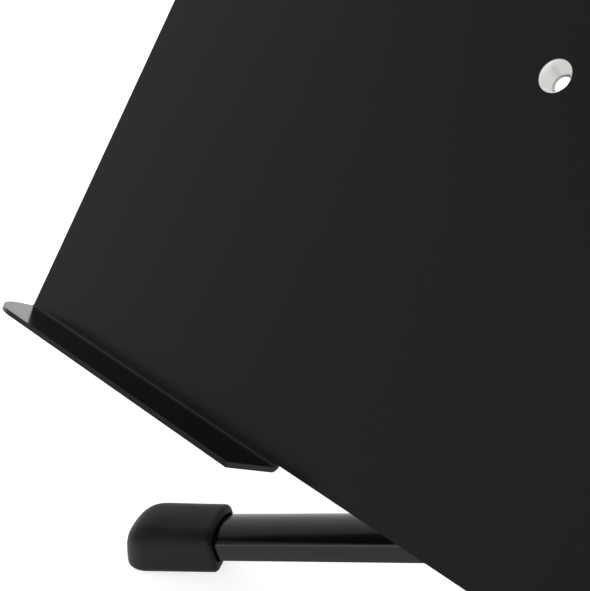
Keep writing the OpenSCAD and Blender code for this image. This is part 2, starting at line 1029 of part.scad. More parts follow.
module leg_left() { leg(left_leg); }
module leg_right() { leg(right_leg); }
module leg_rear() { leg(rear_leg); }
module knuckle_left() { knuckle(left_leg); }
module knuckle_right() { knuckle(right_leg); }
module knuckle_rear() { knuckle(rear_leg); }
module leg_rivet_left() { leg_rivet(left_leg); }
module leg_rivet_right() { leg_rivet(right_leg); }
module leg_rivet_rear() { leg_rivet(rear_leg); }
module foot_left() { foot(left_leg); }
module foot_right() { foot(right_leg); }
module foot_rear() { foot(rear_leg); }

desk_plate();
desk_rivets();
bracket_left();
bracket_right();
tilt_bolt();
friction_washers();
flat_washer();
tilt_knob();
tilt_knob_insert();
tilt_head();
head_pin();
inner_tube();
slide_shoe();
outer_tube();
guide_bush();
clamp_collar();
clamp_nut();
clamp_pad();
height_knob();
height_screw();
hub_top_plate();
hub_bottom_plate();
hub_core();
base_bolt();
base_washer();
pivot_rivets();
stop_pins();
leg_left();
leg_right();
leg_rear();
knuckle_left();
knuckle_right();
knuckle_rear();
leg_rivet_left();
leg_rivet_right();
leg_rivet_rear();
foot_left();
foot_right();
foot_rear();
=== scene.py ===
"""Tabletop music stand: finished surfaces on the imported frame, in a plain studio.

The camera stands at the photograph's angle. Sizes are in millimetres and angles in degrees until a
mesh is made, which turns millimetres into metres.
"""

import json
import logging
from abc import ABC, abstractmethod
from dataclasses import dataclass, field
from enum import Enum
from typing import Any, Callable, Sequence

import bmesh
import bpy
import numpy as np
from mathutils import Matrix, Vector

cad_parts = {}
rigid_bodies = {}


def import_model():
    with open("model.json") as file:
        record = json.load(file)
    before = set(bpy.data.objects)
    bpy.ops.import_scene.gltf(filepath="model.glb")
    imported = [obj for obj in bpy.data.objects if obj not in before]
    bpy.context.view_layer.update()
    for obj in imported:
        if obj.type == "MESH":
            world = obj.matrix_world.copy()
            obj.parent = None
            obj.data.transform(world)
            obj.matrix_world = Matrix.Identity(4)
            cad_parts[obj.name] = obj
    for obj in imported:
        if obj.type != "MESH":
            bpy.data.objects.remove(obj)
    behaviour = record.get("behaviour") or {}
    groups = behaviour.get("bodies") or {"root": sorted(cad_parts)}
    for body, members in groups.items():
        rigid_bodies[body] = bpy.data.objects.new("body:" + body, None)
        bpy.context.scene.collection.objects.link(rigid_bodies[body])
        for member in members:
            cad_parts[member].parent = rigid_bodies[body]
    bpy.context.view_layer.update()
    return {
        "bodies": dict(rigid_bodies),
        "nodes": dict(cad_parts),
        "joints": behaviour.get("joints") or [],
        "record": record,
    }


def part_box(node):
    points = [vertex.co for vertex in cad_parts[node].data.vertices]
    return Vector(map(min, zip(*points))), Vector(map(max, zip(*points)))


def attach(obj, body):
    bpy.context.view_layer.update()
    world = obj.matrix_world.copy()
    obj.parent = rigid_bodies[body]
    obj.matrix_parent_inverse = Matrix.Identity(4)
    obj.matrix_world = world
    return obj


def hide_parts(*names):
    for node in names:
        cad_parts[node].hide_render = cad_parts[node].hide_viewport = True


LOG = logging.getLogger("music_stand")
MM = 0.001

# Values of a pattern between which gloss, or colour, goes from its first limit to its second
GLOSS_SPAN = (0.3, 0.7)
TINT_SPAN = (0.35, 0.7)

# Metres: points this close are merged, and edges shorter than the second length are dropped
MERGE = 2e-6
SLIVER = 1e-7

# Degrees: edges that stay sharp on a new skin and on a copied node, and the greatest angle between
# faces of a copy that become one
SKIN_CREASE = 38.0
COPY_CREASE = 30.0
COPY_FLAT = 0.6

# Degrees: edges that are rounded on a solid piece and on folded sheet
SOLID_EDGE = 35.0
SHEET_EDGE = 50.0

# Faces across a rounded edge, and points on a round corner of a section and of a ring
EDGE_FACES = 3
CORNER_STEPS = 6
RING_STEPS = 5

# Points around a turned piece, a desk rivet, a leg's pivot and a thin pin
TURNED_STEPS = 96
RIVET_STEPS = 72
PIVOT_STEPS = 64
PIN_STEPS = 48

# Clearances of a piece that turns in its bore and of one that is seated in it
RUN_FIT = 0.05
SEAT_FIT = 0.02

# Least radius of a corner, and greatest cosine between its two sides
SHARP = 1e-4
STRAIGHT = 0.999999

# Halvings with which the wall of a form is found
HALVINGS = 36

Grid = np.ndarray
Pair = tuple[float, float]
Triple = tuple[float, float, float]


class Slot(Enum):
    """Material slots of the record."""

    POWDER_COAT = "powder_coated_steel"
    ENAMEL = "enamelled_steel"
    RUBBER = "rubber"
    NICKEL = "nickel"
    ZINC = "zinc_steel"
    PLASTIC = "black_plastic"
    NYLON = "nylon"
    FIBRE = "fibre"
    BRASS = "brass"


class Axis(Enum):
    """Coordinate axes, as the index of each."""

    X = 0
    Y = 1
    Z = 2


class Side(Enum):
    """The three legs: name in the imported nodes, and direction around the column."""

    LEFT = ("left", 210.0)
    RIGHT = ("right", 330.0)
    REAR = ("rear", 90.0)

    def __init__(self, label: str, heading: float) -> None:
        """Keep the name and the direction under names of their own."""
        self.label = label
        self.heading = heading


class Texture(Enum):
    """Textures that draw a pattern: Blender's node, and the output that is read."""

    CLOUDS = ("ShaderNodeTexNoise", "Fac")
    PITS = ("ShaderNodeTexVoronoi", "Distance")


def linear(colour: str) -> tuple[float, float, float, float]:
    """Turn an sRGB hex colour into linear light.

    Up to 0.04045 a value is divided by 12.92. Above that, 0.055 is added, the sum is divided by
    1.055, and the result is raised to the power 2.4.

    Args:
        colour: Six hex digits after a hash.

    Returns:
        Red, green, blue and an alpha of one.
    """
    value = np.array([int(colour[i : i + 2], 16) for i in (1, 3, 5)]) / 255.0
    light = np.where(value <= 0.04045, value / 12.92, ((value + 0.055) / 1.055) ** 2.4)
    return (*light.tolist(), 1.0)


def per_mm(size: float) -> float:
    """Texture scale at which one feature of a pattern measures the given millimetres."""
    return 1.0 / (size * MM)


def bare_tree(owner: bpy.types.ID) -> bpy.types.NodeTree:
    """Turn on nodes, and take away those that a new tree starts with.

    Args:
        owner: New material or world.

    Returns:
        Its empty node tree.
    """
    owner.use_nodes = True
    owner.node_tree.nodes.clear()
    return owner.node_tree


def add_node(
    tree: bpy.types.NodeTree,
    kind: str,
    settings: dict[str, Any] | None = None,
    inputs: dict[str | int, Any] | None = None,
) -> bpy.types.Node:
    """Add one node, with its settings and its inputs.

    Args:
        tree: Node tree that takes the node.
        kind: Blender's name of the node type.
        settings: Properties of the node itself.
        inputs: Values of its sockets; an output socket given as a value is linked.

    Returns:
        The new node.
    """
    node = tree.nodes.new(kind)
    for key, value in (settings or {}).items():
        setattr(node, key, value)
    for key, value in (inputs or {}).items():
        if isinstance(value, bpy.types.NodeSocket):
            tree.links.new(value, node.inputs[key])
        else:
            node.inputs[key].default_value = value
    return node


@dataclass(frozen=True)
class Pattern:
    """Pattern of a surface: size of a feature, layers of finer detail, texture, stretch by axis."""

    size: float
    detail: float = 0.0
    texture: Texture = Texture.CLOUDS
    stretch: Triple = (1.0, 1.0, 1.0)

    def draw(self, tree: bpy.types.NodeTree) -> bpy.types.NodeSocket:
        """Lay the pattern on the Object coordinates of a material.

        Args:
            tree: Node tree of the material.

        Returns:
            Output that carries the pattern.
        """
        kind, output = self.texture.value
        place = add_node(tree, "ShaderNodeTexCoord").outputs["Object"]
        drawn = add_node(
            tree, "ShaderNodeMapping", inputs={"Vector": place, "Scale": self.stretch}
        ).outputs["Vector"]
        inputs = {"Vector": drawn, "Scale": per_mm(self.size), "Detail": self.detail}
        return add_node(tree, kind, inputs=inputs).outputs[output]


Relief = tuple[tuple[Pattern, float], ...]


@dataclass(frozen=True)
class Finish:
    """Surface finish of one real material.

    The roughness runs between its two limits after the gloss pattern, the colour goes over to the
    other one after the tint pattern, and each relief pattern is raised by its depth. Grit, grain,
    pits and tool marks are finer than this on the real surfaces. They are drawn as coarse as they
    need to be to show.
    """

    name: str
    slot: Slot
    colour: str
    roughness: Pair
    relief: Relief
    gloss: Pattern
    tint: Pattern | None = None
    other: str = ""
    metallic: float = 0.0
    specular: float = 0.5

    def material(self) -> bpy.types.Material:
        """Make the material once, and return the same one later.

        Returns:
            The finished material.
        """
        made = bpy.data.materials.get(self.name)
        if made is not None:
            return made
        made = bpy.data.materials.new(self.name)
        tree = bare_tree(made)
        gloss = {
            "Value": self.gloss.draw(tree),
            "From Min": GLOSS_SPAN[0],
            "From Max": GLOSS_SPAN[1],
            "To Min": self.roughness[0],
            "To Max": self.roughness[1],
        }
        inputs: dict[str | int, Any] = {
            "Base Color": linear(self.colour),
            "Metallic": self.metallic,
            "Specular IOR Level": self.specular,
            "Roughness": add_node(tree, "ShaderNodeMapRange", inputs=gloss).outputs["Result"],
        }
        if self.tint is not None:
            ramp = add_node(tree, "ShaderNodeValToRGB", inputs={"Fac": self.tint.draw(tree)})
            stops = zip(ramp.color_ramp.elements, TINT_SPAN, (self.colour, self.other))
            for stop, position, colour in stops:
                stop.position, stop.color = position, linear(colour)
            inputs["Base Color"] = ramp.outputs["Color"]
        for pattern, depth in self.relief:
            raised = {"Height": pattern.draw(tree), "Distance": depth * MM}
            if "Normal" in inputs:
                raised["Normal"] = inputs["Normal"]
            inputs["Normal"] = add_node(tree, "ShaderNodeBump", inputs=raised).outputs["Normal"]
        shader = add_node(tree, "ShaderNodeBsdfPrincipled", inputs=inputs)
        add_node(tree, "ShaderNodeOutputMaterial", inputs={"Surface": shader.outputs["BSDF"]})
        return made

    def dress(self, obj: bpy.types.Object) -> None:
        """Give an object this finish alone."""
        obj.data.materials.clear()
        obj.data.materials.append(self.material())


@dataclass(frozen=True)
class PowderCoat(Finish):
    """Powder coating baked on steel: satin black that flowed into shallow ripples, with grit."""

    name: str = "powder_coat"
    slot: Slot = Slot.POWDER_COAT
    colour: str = "#080808"
    roughness: Pair = (0.16, 0.22)
    relief: Relief = ((Pattern(1.6, 2.0), 0.004), (Pattern(0.35, 1.0), 0.002))
    gloss: Pattern = Pattern(40.0, 3.0)
    tint: Pattern | None = Pattern(0.35, 1.0)
    other: str = "#0d0d0e"
    specular: float = 0.2


@dataclass(frozen=True)
class GlossEnamel(Finish):
    """Stoved enamel on steel: deep glossy black with a long, faint waviness and a little haze."""

    name: str = "gloss_enamel"
    slot: Slot = Slot.ENAMEL
    colour: str = "#080808"
    roughness: Pair = (0.16, 0.22)
    relief: Relief = ((Pattern(5.0, 1.0), 0.006),)
    gloss: Pattern = Pattern(18.0, 4.0)
    specular: float = 0.31


@dataclass(frozen=True)
class MouldedRubber(Finish):
    """Rubber moulded in a blasted tool: matt black, a fine even grain and a trace of grey bloom."""

    name: str = "moulded_rubber"
    slot: Slot = Slot.RUBBER
    colour: str = "#090909"
    roughness: Pair = (0.44, 0.56)
    relief: Relief = ((Pattern(0.45, 2.0), 0.025),)
    gloss: Pattern = Pattern(7.0, 5.0)
    tint: Pattern | None = Pattern(7.0, 5.0)
    other: str = "#101010"
    specular: float = 0.17


@dataclass(frozen=True)
class MetalSkin(Finish):
    """Bare or plated metal: it mirrors in its own colour, which is a little cloudy."""

    tint: Pattern | None = Pattern(6.0, 3.0)
    metallic: float = 1.0


@dataclass(frozen=True)
class NickelPlate(MetalSkin):
    """Bright nickel plated on steel: a clear mirror with faint marks drawn out along the piece."""

    name: str = "nickel_plate"
    slot: Slot = Slot.NICKEL
    colour: str = "#ededea"
    roughness: Pair = (0.1, 0.18)
    relief: Relief = ((Pattern(0.6, 3.0, stretch=(1.0, 1.0, 0.12)), 0.002),)
    gloss: Pattern = Pattern(0.6, 3.0, stretch=(1.0, 1.0, 0.12))
    other: str = "#e6e6e3"


@dataclass(frozen=True)
class ZincPlate(MetalSkin):
    """Zinc plated on steel: a dull blue-grey metal, marked from the plating barrel."""

    name: str = "zinc_plate"
    slot: Slot = Slot.ZINC
    colour: str = "#b9bbbd"
    roughness: Pair = (0.26, 0.42)
    relief: Relief = ((Pattern(0.9, 3.0, stretch=(1.0, 1.0, 0.5)), 0.006),)
    gloss: Pattern = Pattern(0.9, 3.0, stretch=(1.0, 1.0, 0.5))
    other: str = "#a3a6aa"


@dataclass(frozen=True)
class TurnedBrass(MetalSkin):
    """Turned brass: a warm yellow metal with the cutting tool's fine lines."""

    name: str = "turned_brass"
    slot: Slot = Slot.BRASS
    colour: str = "#c9a556"
    roughness: Pair = (0.2, 0.34)
    relief: Relief = ((Pattern(0.5, 3.0, stretch=(1.0, 0.1, 1.0)), 0.008),)
    gloss: Pattern = Pattern(0.5, 3.0, stretch=(1.0, 0.1, 1.0))
    other: str = "#b8934a"


@dataclass(frozen=True)
class Polymer(Finish):
    """Plastic or pressed fibre: sheen and colour drift together in wide soft clouds."""

    gloss: Pattern = Pattern(9.0, 3.0)
    tint: Pattern | None = Pattern(9.0, 3.0)


@dataclass(frozen=True)
class MouldedPlastic(Polymer):
    """Black plastic moulded in a spark-eroded tool: tiny rounded pits and an even sheen."""

    name: str = "moulded_plastic"
    slot: Slot = Slot.PLASTIC
    colour: str = "#171718"
    roughness: Pair = (0.36, 0.5)
    relief: Relief = ((Pattern(0.5, texture=Texture.PITS), 0.018),)
    other: str = "#1f1f21"


@dataclass(frozen=True)
class NaturalNylon(Polymer):
    """Nylon in its own colour, turned smooth: a creamy white with a soft sheen."""

    name: str = "natural_nylon"
    slot: Slot = Slot.NYLON
    colour: str = "#dedacd"
    roughness: Pair = (0.34, 0.48)
    relief: Relief = ((Pattern(1.2, texture=Texture.PITS), 0.006),)
    other: str = "#d5cfbe"


@dataclass(frozen=True)
class VulcanisedFibre(Polymer):
    """Vulcanised fibre cut from sheet: a dry, dull red-brown with a pressed grain."""

    name: str = "vulcanised_fibre"
    slot: Slot = Slot.FIBRE
    colour: str = "#5b3a2b"
    roughness: Pair = (0.55, 0.7)
    relief: Relief = ((Pattern(0.8, texture=Texture.PITS), 0.03),)
    other: str = "#6a4533"


def turn(axis: Axis, degrees: float) -> np.ndarray:
    """Rotation about a coordinate axis: cosines on the other two axes, and plus and minus the sine.

    Args:
        axis: Axis to turn about.
        degrees: Angle, by the right-hand rule.

    Returns:
        Three by three matrix.
    """
    angle = np.radians(degrees)
    first, second = (axis.value + 1) % 3, (axis.value + 2) % 3
    matrix = np.eye(3)
    matrix[first, first] = matrix[second, second] = np.cos(angle)
    matrix[first, second], matrix[second, first] = -np.sin(angle), np.sin(angle)
    return matrix


@dataclass(frozen=True)
class Place:
    """Position and turn of a piece's own axes on the stand."""

    origin: np.ndarray
    axes: np.ndarray = field(default_factory=lambda: np.eye(3))

    def out(self, points: Grid) -> Grid:
        """Points given in these axes, in the stand's axes."""
        return self.origin + points @ self.axes.T

    def inner(self, origin: Sequence[float], axes: np.ndarray | None = None) -> "Place":
        """A place given in these axes.

        Args:
            origin: Its origin in these axes.
            axes: Its turn in these axes, or none.

        Returns:
            The place in the stand's axes.
        """
        turned = self.axes if axes is None else self.axes @ axes
        return Place(self.out(np.asarray(origin, float)), turned)


@dataclass(frozen=True)
class Stand:
    """Packed stand: its nodes, each node's body and finish, and points that its joints give."""

    nodes: dict[str, bpy.types.Object]
    bodies: dict[str, str]
    finishes: dict[str, Finish]
    pivot: np.ndarray
    clamp: np.ndarray

    @classmethod
    def from_frame(cls, frame: dict[str, Any], finishes: Sequence[Finish]) -> "Stand":
        """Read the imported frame.

        Args:
            finishes: One finish for each of the record's slots.

        Returns:
            The stand, with the pivot of its tilt and the point on which its height knob turns.
        """
        record = frame["record"]
        groups = record["behaviour"]["bodies"].items()
        bodies = {node: body for body, nodes in groups for node in nodes}
        by_slot = {finish.slot.value: finish for finish in finishes}
        dressed = {part["node"]: by_slot[part["material_slot"]] for part in record["subparts"]}
        points = {
            joint["name"]: np.array(joint["pos_m"]) / MM
            for joint in frame["joints"]
            if "pos_m" in joint
        }
        pivot, clamp = points["desk_tilt"], points["height_knob_turn"]
        return cls(frame["nodes"], bodies, dressed, pivot, clamp)

    @property
    def column(self) -> Place:
        """Axis of the column, from the table up."""
        return Place(np.array([0.0, self.pivot[1], 0.0]))

    def towards(self, side: Side) -> Place:
        """Axes under the column on the table, with X out along a leg."""
        return Place(self.column.origin, turn(Axis.Z, side.heading))

    def tilt(self, x: float, towards: float = 1.0) -> Place:
        """Axis of the tilt bolt at a distance off the middle, pointing right or, with -1, left."""
        return Place(self.pivot + np.array([x, 0.0, 0.0]), turn(Axis.Y, 90.0 * towards))


def node_box(node: str) -> tuple[np.ndarray, np.ndarray]:
    """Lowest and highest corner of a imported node, in millimetres."""
    low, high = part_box(node)
    return np.array(low) / MM, np.array(high) / MM


def lattice(x: Grid, y: Grid, z: Grid) -> Grid:
    """Grid of points from coordinates that each run along its rows, its columns or both."""
    return np.stack(np.broadcast_arrays(x, y, z), -1)


def arc(centre: Sequence[float], radius: float, start: float, end: float, steps: int) -> Grid:
    """Points of a circle between two angles: centre plus radius times cosine and sine.

    Args:
        centre: Centre of the circle.
        radius: Its radius.
        start: First angle.
        end: Last angle.
        steps: Number of points.

    Returns:
        Points, one a row.
    """
    angle = np.radians(np.linspace(start, end, steps))
    return np.asarray(centre, float) + radius * np.stack([np.cos(angle), np.sin(angle)], -1)


def round_corners(
    corners: Sequence[Sequence[float]],
    radii: float | Sequence[float] | Grid,
    closed: bool = True,
    steps: int = CORNER_STEPS,
) -> Grid:
    """Polyline whose corners are tangent arcs.

    An arc's centre lies on the corner's bisector at radius over sine of the half angle, and its
    points turn from one tangent point to the other by the spherical blend of the two radii.

    Args:
        corners: Corner points.
        radii: One radius, or one for each corner.
        closed: Whether the last corner joins the first; the ends of an open line stay sharp.
        steps: Points on each arc.

    Returns:
        Points, one a row.
    """
    points = np.asarray(corners, float)
    radius = np.broadcast_to(np.maximum(np.asarray(radii, float), SHARP), len(points))[:, None]
    before = np.roll(points, 1, 0) - points
    after = np.roll(points, -1, 0) - points
    before /= np.linalg.norm(before, axis=1, keepdims=True)
    after /= np.linalg.norm(after, axis=1, keepdims=True)
    cosine = (before * after).sum(1, keepdims=True)
    half = np.arccos(np.clip(cosine, -STRAIGHT, STRAIGHT)) / 2
    bisector = before + after
    bisector /= np.linalg.norm(bisector, axis=1, keepdims=True)
    centre = points + bisector * radius / np.sin(half)
    reach = radius / np.tan(half)
    first = (points + before * reach - centre)[:, None]
    last = (points + after * reach - centre)[:, None]
    omega = (np.pi - 2 * half)[:, None]
    share = np.linspace(0, 1, steps)[None, :, None]
    blend = np.sin((1 - share) * omega) * first + np.sin(share * omega) * last
    curves = centre[:, None] + blend / np.sin(omega)
    if closed:
        return curves.reshape(-1, 2)
    return np.concatenate([points[:1], curves[1:-1].reshape(-1, 2), points[-1:]])


def ring_profile(inner: float, outer: float, low: float, high: float, edge: float) -> Grid:
    """Closed half section of a ring: a rectangle off the axis with eased corners.

    Args:
        inner: Radius of the bore.
        outer: Outer radius.
        low: Lower face.
        high: Upper face.
        edge: Radius of the edges.

    Returns:
        Radius and height of each point.
    """
    corners = [[inner, low], [outer, low], [outer, high], [inner, high]]
    return round_corners(corners, edge, steps=RING_STEPS)


@dataclass(frozen=True)
class Disc:
    """Round head or washer: diameter, height and radius of its edges."""

    diameter: float
    height: float
    edge: float

    @property
    def radius(self) -> float:
        """Half the diameter."""
        return self.diameter / 2

    def ring(self, bore: float) -> Grid:
        """Closed half section of a washer on Z = 0, round a bore of the given radius."""
        return ring_profile(bore, self.radius, 0.0, self.height, self.edge)

    def dome(self) -> Grid:
        """Half section of a domed head on Z = 0, from its pole to its edge.

        A cap of base b and rise h is part of a sphere, whose radius is the sum of b squared and
        h squared, over twice h. It stands on a quarter round.

        Returns:
            Radius and height of each point.
        """
        cap_steps, edge_steps = 14, 5
        base, rise = self.radius - self.edge, self.height - self.edge
        sphere = (base * base + rise * rise) / (2 * rise)
        angle = np.linspace(0, np.arcsin(base / sphere), cap_steps)
        level = self.height - sphere + sphere * np.cos(angle)
        cap = np.stack([sphere * np.sin(angle), level], -1)
        return np.concatenate([cap, arc([base, 0.0], self.edge, 90, 0, edge_steps)[1:]])


def rivet_profile(head: Disc, tail: Disc, shank: float, top: float, bottom: float) -> Grid:
    """Half section of a rivet, from pole to pole: a dome up, a straight shank and a dome down.

    Args:
        head: Upper head.
        tail: Lower head.
        shank: Diameter between them.
        top: Height on which the head lies.
        bottom: Height under which the tail lies.

    Returns:
        Radius and height of each point.
    """
    upper = head.dome() + [0.0, top]
    lower = tail.dome()[::-1] * [1, -1] + [0.0, bottom]
    return np.concatenate([upper, [[shank / 2, top], [shank / 2, bottom]], lower])


def revolve(profile: Grid, steps: int, lobes: Grid | float = 1.0) -> Grid:
    """Surface of revolution: (r f cos t, r f sin t, h) over the profile (r, h) and the angle t.

    Args:
        profile: Radius and height of each point.
        steps: Points around.
        lobes: Factor f of the radius, profile by angle, or one for a round piece.

    Returns:
        Grid of points, profile by angle.
    """
    angle = np.linspace(0, 2 * np.pi, steps, endpoint=False)
    radius = profile[:, :1] * lobes
    return lattice(radius * np.cos(angle), radius * np.sin(angle), profile[:, 1:])


def soft_max(fields: Sequence[Grid], blend: float) -> Grid:
    """Greatest of several distance fields, rounded where they cross.

    It is the blend times the logarithm of the sum of exponentials of each field over the blend.

    Args:
        fields: Distances to the walls of a form, negative inside.
        blend: Length over which two walls run into each other.

    Returns:
        Distance to the rounded form.
    """
    stack = np.stack(fields)
    top = stack.max(0)
    return top + blend * np.log(np.exp((stack - top) / blend).sum(0))


def meet(form: Callable[[Grid], Grid], start: Grid, heading: Grid, reach: float) -> Grid:
    """Distance along rays to the wall of a form, found by halving on whole arrays.

    Args:
        form: Distance field, negative inside.
        start: Points inside the form.
        heading: Unit vectors.
        reach: Length that is certain to lie outside.

    Returns:
        Distance of the wall along each ray.
    """
    shape = np.broadcast(start[..., 0], heading[..., 0]).shape
    low, high = np.zeros(shape), np.full(shape, reach)
    for _ in range(HALVINGS):
        middle = (low + high) / 2
        outside = form(start + heading * middle[..., None]) > 0
        low, high = np.where(outside, low, middle), np.where(outside, middle, high)
    return (low + high) / 2


@dataclass
class Skin:
    """Mesh that is put together from grids of points."""

    name: str
    points: list[Grid] = field(default_factory=list)
    faces: list[list[int]] = field(default_factory=list)
    count: int = 0

    def add(
        self,
        grid: Grid,
        place: Place,
        loop_rows: bool = False,
        loop_columns: bool = True,
        keep: Grid | None = None,
    ) -> "Skin":
        """Add a grid as four-sided faces.

        Args:
            grid: Points, row by column.
            place: Place of the grid's axes.
            loop_rows: Whether the last row joins the first.
            loop_columns: Whether the last column joins the first.
            keep: Which faces to make, or all.

        Returns:
            This skin.
        """
        rows, columns = grid.shape[:2]
        row, column = np.meshgrid(
            np.arange(rows if loop_rows else rows - 1),
            np.arange(columns if loop_columns else columns - 1),
            indexing="ij",
        )
        here, below = row * columns, (row + 1) % rows * columns
        beside = (column + 1) % columns
        corners = [here + column, here + beside, below + beside, below + column]
        quads = np.stack(corners, -1) + self.count
        self.faces.extend((quads.reshape(-1, 4) if keep is None else quads[keep]).tolist())
        self.points.append(place.out(grid.reshape(-1, 3)))
        self.count += rows * columns
        return self

    def close_ends(self, columns: int) -> "Skin":
        """Close the first and last row of a skin of one grid.

        Args:
            columns: Points in a row.

        Returns:
            This skin.
        """
        self.faces.append(list(range(columns)))
        self.faces.append(list(range(self.count - columns, self.count)))
        return self

    def build(self, closed: bool = True, crease: float = SKIN_CREASE) -> bpy.types.Object:
        """Make the object, with doubles merged, poles closed and smooth shading between creases.

        Args:
            closed: Whether the skin is a closed shell, whose normals are then turned outwards.
            crease: Angle above which an edge stays sharp.

        Returns:
            The linked object.
        """
        mesh = bpy.data.meshes.new(self.name)
        mesh.from_pydata((np.concatenate(self.points) * MM).tolist(), [], self.faces)
        work = bmesh.new()
        work.from_mesh(mesh)
        bmesh.ops.remove_doubles(work, verts=work.verts, dist=MERGE)
        bmesh.ops.dissolve_degenerate(work, edges=work.edges, dist=SLIVER)
        if closed:
            bmesh.ops.recalc_face_normals(work, faces=work.faces)
        work.to_mesh(mesh)
        work.free()
        return link(mesh, self.name, crease)


def link(mesh: bpy.types.Mesh, name: str, crease: float) -> bpy.types.Object:
    """Put a mesh into the scene, smooth between its creases.

    Args:
        mesh: Finished mesh.
        name: Name of its object.
        crease: Angle above which an edge stays sharp.

    Returns:
        The linked object.
    """
    mesh.shade_smooth()
    mesh.set_sharp_from_angle(angle=np.radians(crease))
    obj = bpy.data.objects.new(name, mesh)
    bpy.context.scene.collection.objects.link(obj)
    return obj


def ease_edges(obj: bpy.types.Object, width: float, angle: float) -> None:
    """Round the edges of an object.

    Args:
        obj: Object to round.
        width: Width of the rounding.
        angle: Edges sharper than this angle are rounded.
    """
    edge = obj.modifiers.new("eased_edges", "BEVEL")
    edge.width = width * MM
    edge.segments = EDGE_FACES
    edge.limit_method = "ANGLE"
    edge.angle_limit = np.radians(angle)
    edge.harden_normals = True


@dataclass
class Assembly(ABC):
    """Group of pieces that is built and dressed together."""

    stand: Stand

    @abstractmethod
    def build(self) -> None:
        """Build, dress and place every piece of the group."""

    def seat(self, obj: bpy.types.Object, node: str) -> None:
        """Dress a piece and hang it on its body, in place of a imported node.

        Args:
            obj: Finished piece.
            node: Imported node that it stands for, whose finish and body it takes.
        """
        finish, body = self.stand.finishes[node], self.stand.bodies[node]
        finish.dress(obj)
        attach(obj, body)
        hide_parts(node)
        LOG.info("%s on %s: %d faces, %s", obj.name, body, len(obj.data.polygons), finish.name)

    def turned(
        self,
        name: str,
        profile: Grid,
        places: Sequence[Place],
        node: str,
        ring: bool = False,
        steps: int = TURNED_STEPS,
    ) -> None:
        """Turn a section about the Z axis of each place, all as one piece.

        Args:
            name: Name of the piece.
            profile: Radius and height of each point of the section.
            places: Where the turned shapes go.
            node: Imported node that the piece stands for.
            ring: Whether the section closes on itself.
            steps: Points around.
        """
        surface, skin = revolve(profile, steps), Skin(name)
        for place in places:
            skin.add(surface, place, loop_rows=ring)
        self.seat(skin.build(), node)

    def folded(
        self,
        name: str,
        grid: Grid,
        place: Place,
        sheet: Pair,
        node: str,
        keep: Grid | None = None,
    ) -> None:
        """Make a grid a piece of sheet, with its thickness behind the grid.

        Args:
            name: Name of the piece.
            grid: Points of the sheet's face.
            place: Place of the grid's axes.
            sheet: Thickness of the sheet and width of its eased edges.
            node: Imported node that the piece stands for.
            keep: Which faces to make, or all.
        """
        thickness, edge = sheet
        obj = Skin(name).add(grid, place, loop_columns=False, keep=keep).build(closed=False)
        wall = obj.modifiers.new("wall", "SOLIDIFY")
        wall.thickness = thickness * MM
        wall.offset = -1.0
        wall.use_even_offset = True
        ease_edges(obj, edge, SHEET_EDGE)
        self.seat(obj, node)

    def soften(self, width: float, *names: str) -> None:
        """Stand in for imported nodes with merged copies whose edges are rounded.

        Args:
            width: Width of the rounding.
            names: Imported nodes.
        """
        flat = np.radians(COPY_FLAT)
        for node in names:
            mesh = self.stand.nodes[node].data.copy()
            mesh.name = f"{node}_eased"
            work = bmesh.new()
            work.from_mesh(mesh)
            bmesh.ops.remove_doubles(work, verts=work.verts, dist=MERGE)
            bmesh.ops.dissolve_limit(work, angle_limit=flat, verts=work.verts, edges=work.edges)
            work.to_mesh(mesh)
            work.free()
            obj = link(mesh, mesh.name, COPY_CREASE)
            ease_edges(obj, width, SOLID_EDGE)
            self.seat(obj, node)

    def keep(self, *names: str) -> None:
        """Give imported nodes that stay, because they hardly show, their finish.

        Args:
            names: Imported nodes.
        """
        for node in names:
            finish = self.stand.finishes[node]
            finish.dress(self.stand.nodes[node])
            LOG.info("%s stays, %s", node, finish.name)


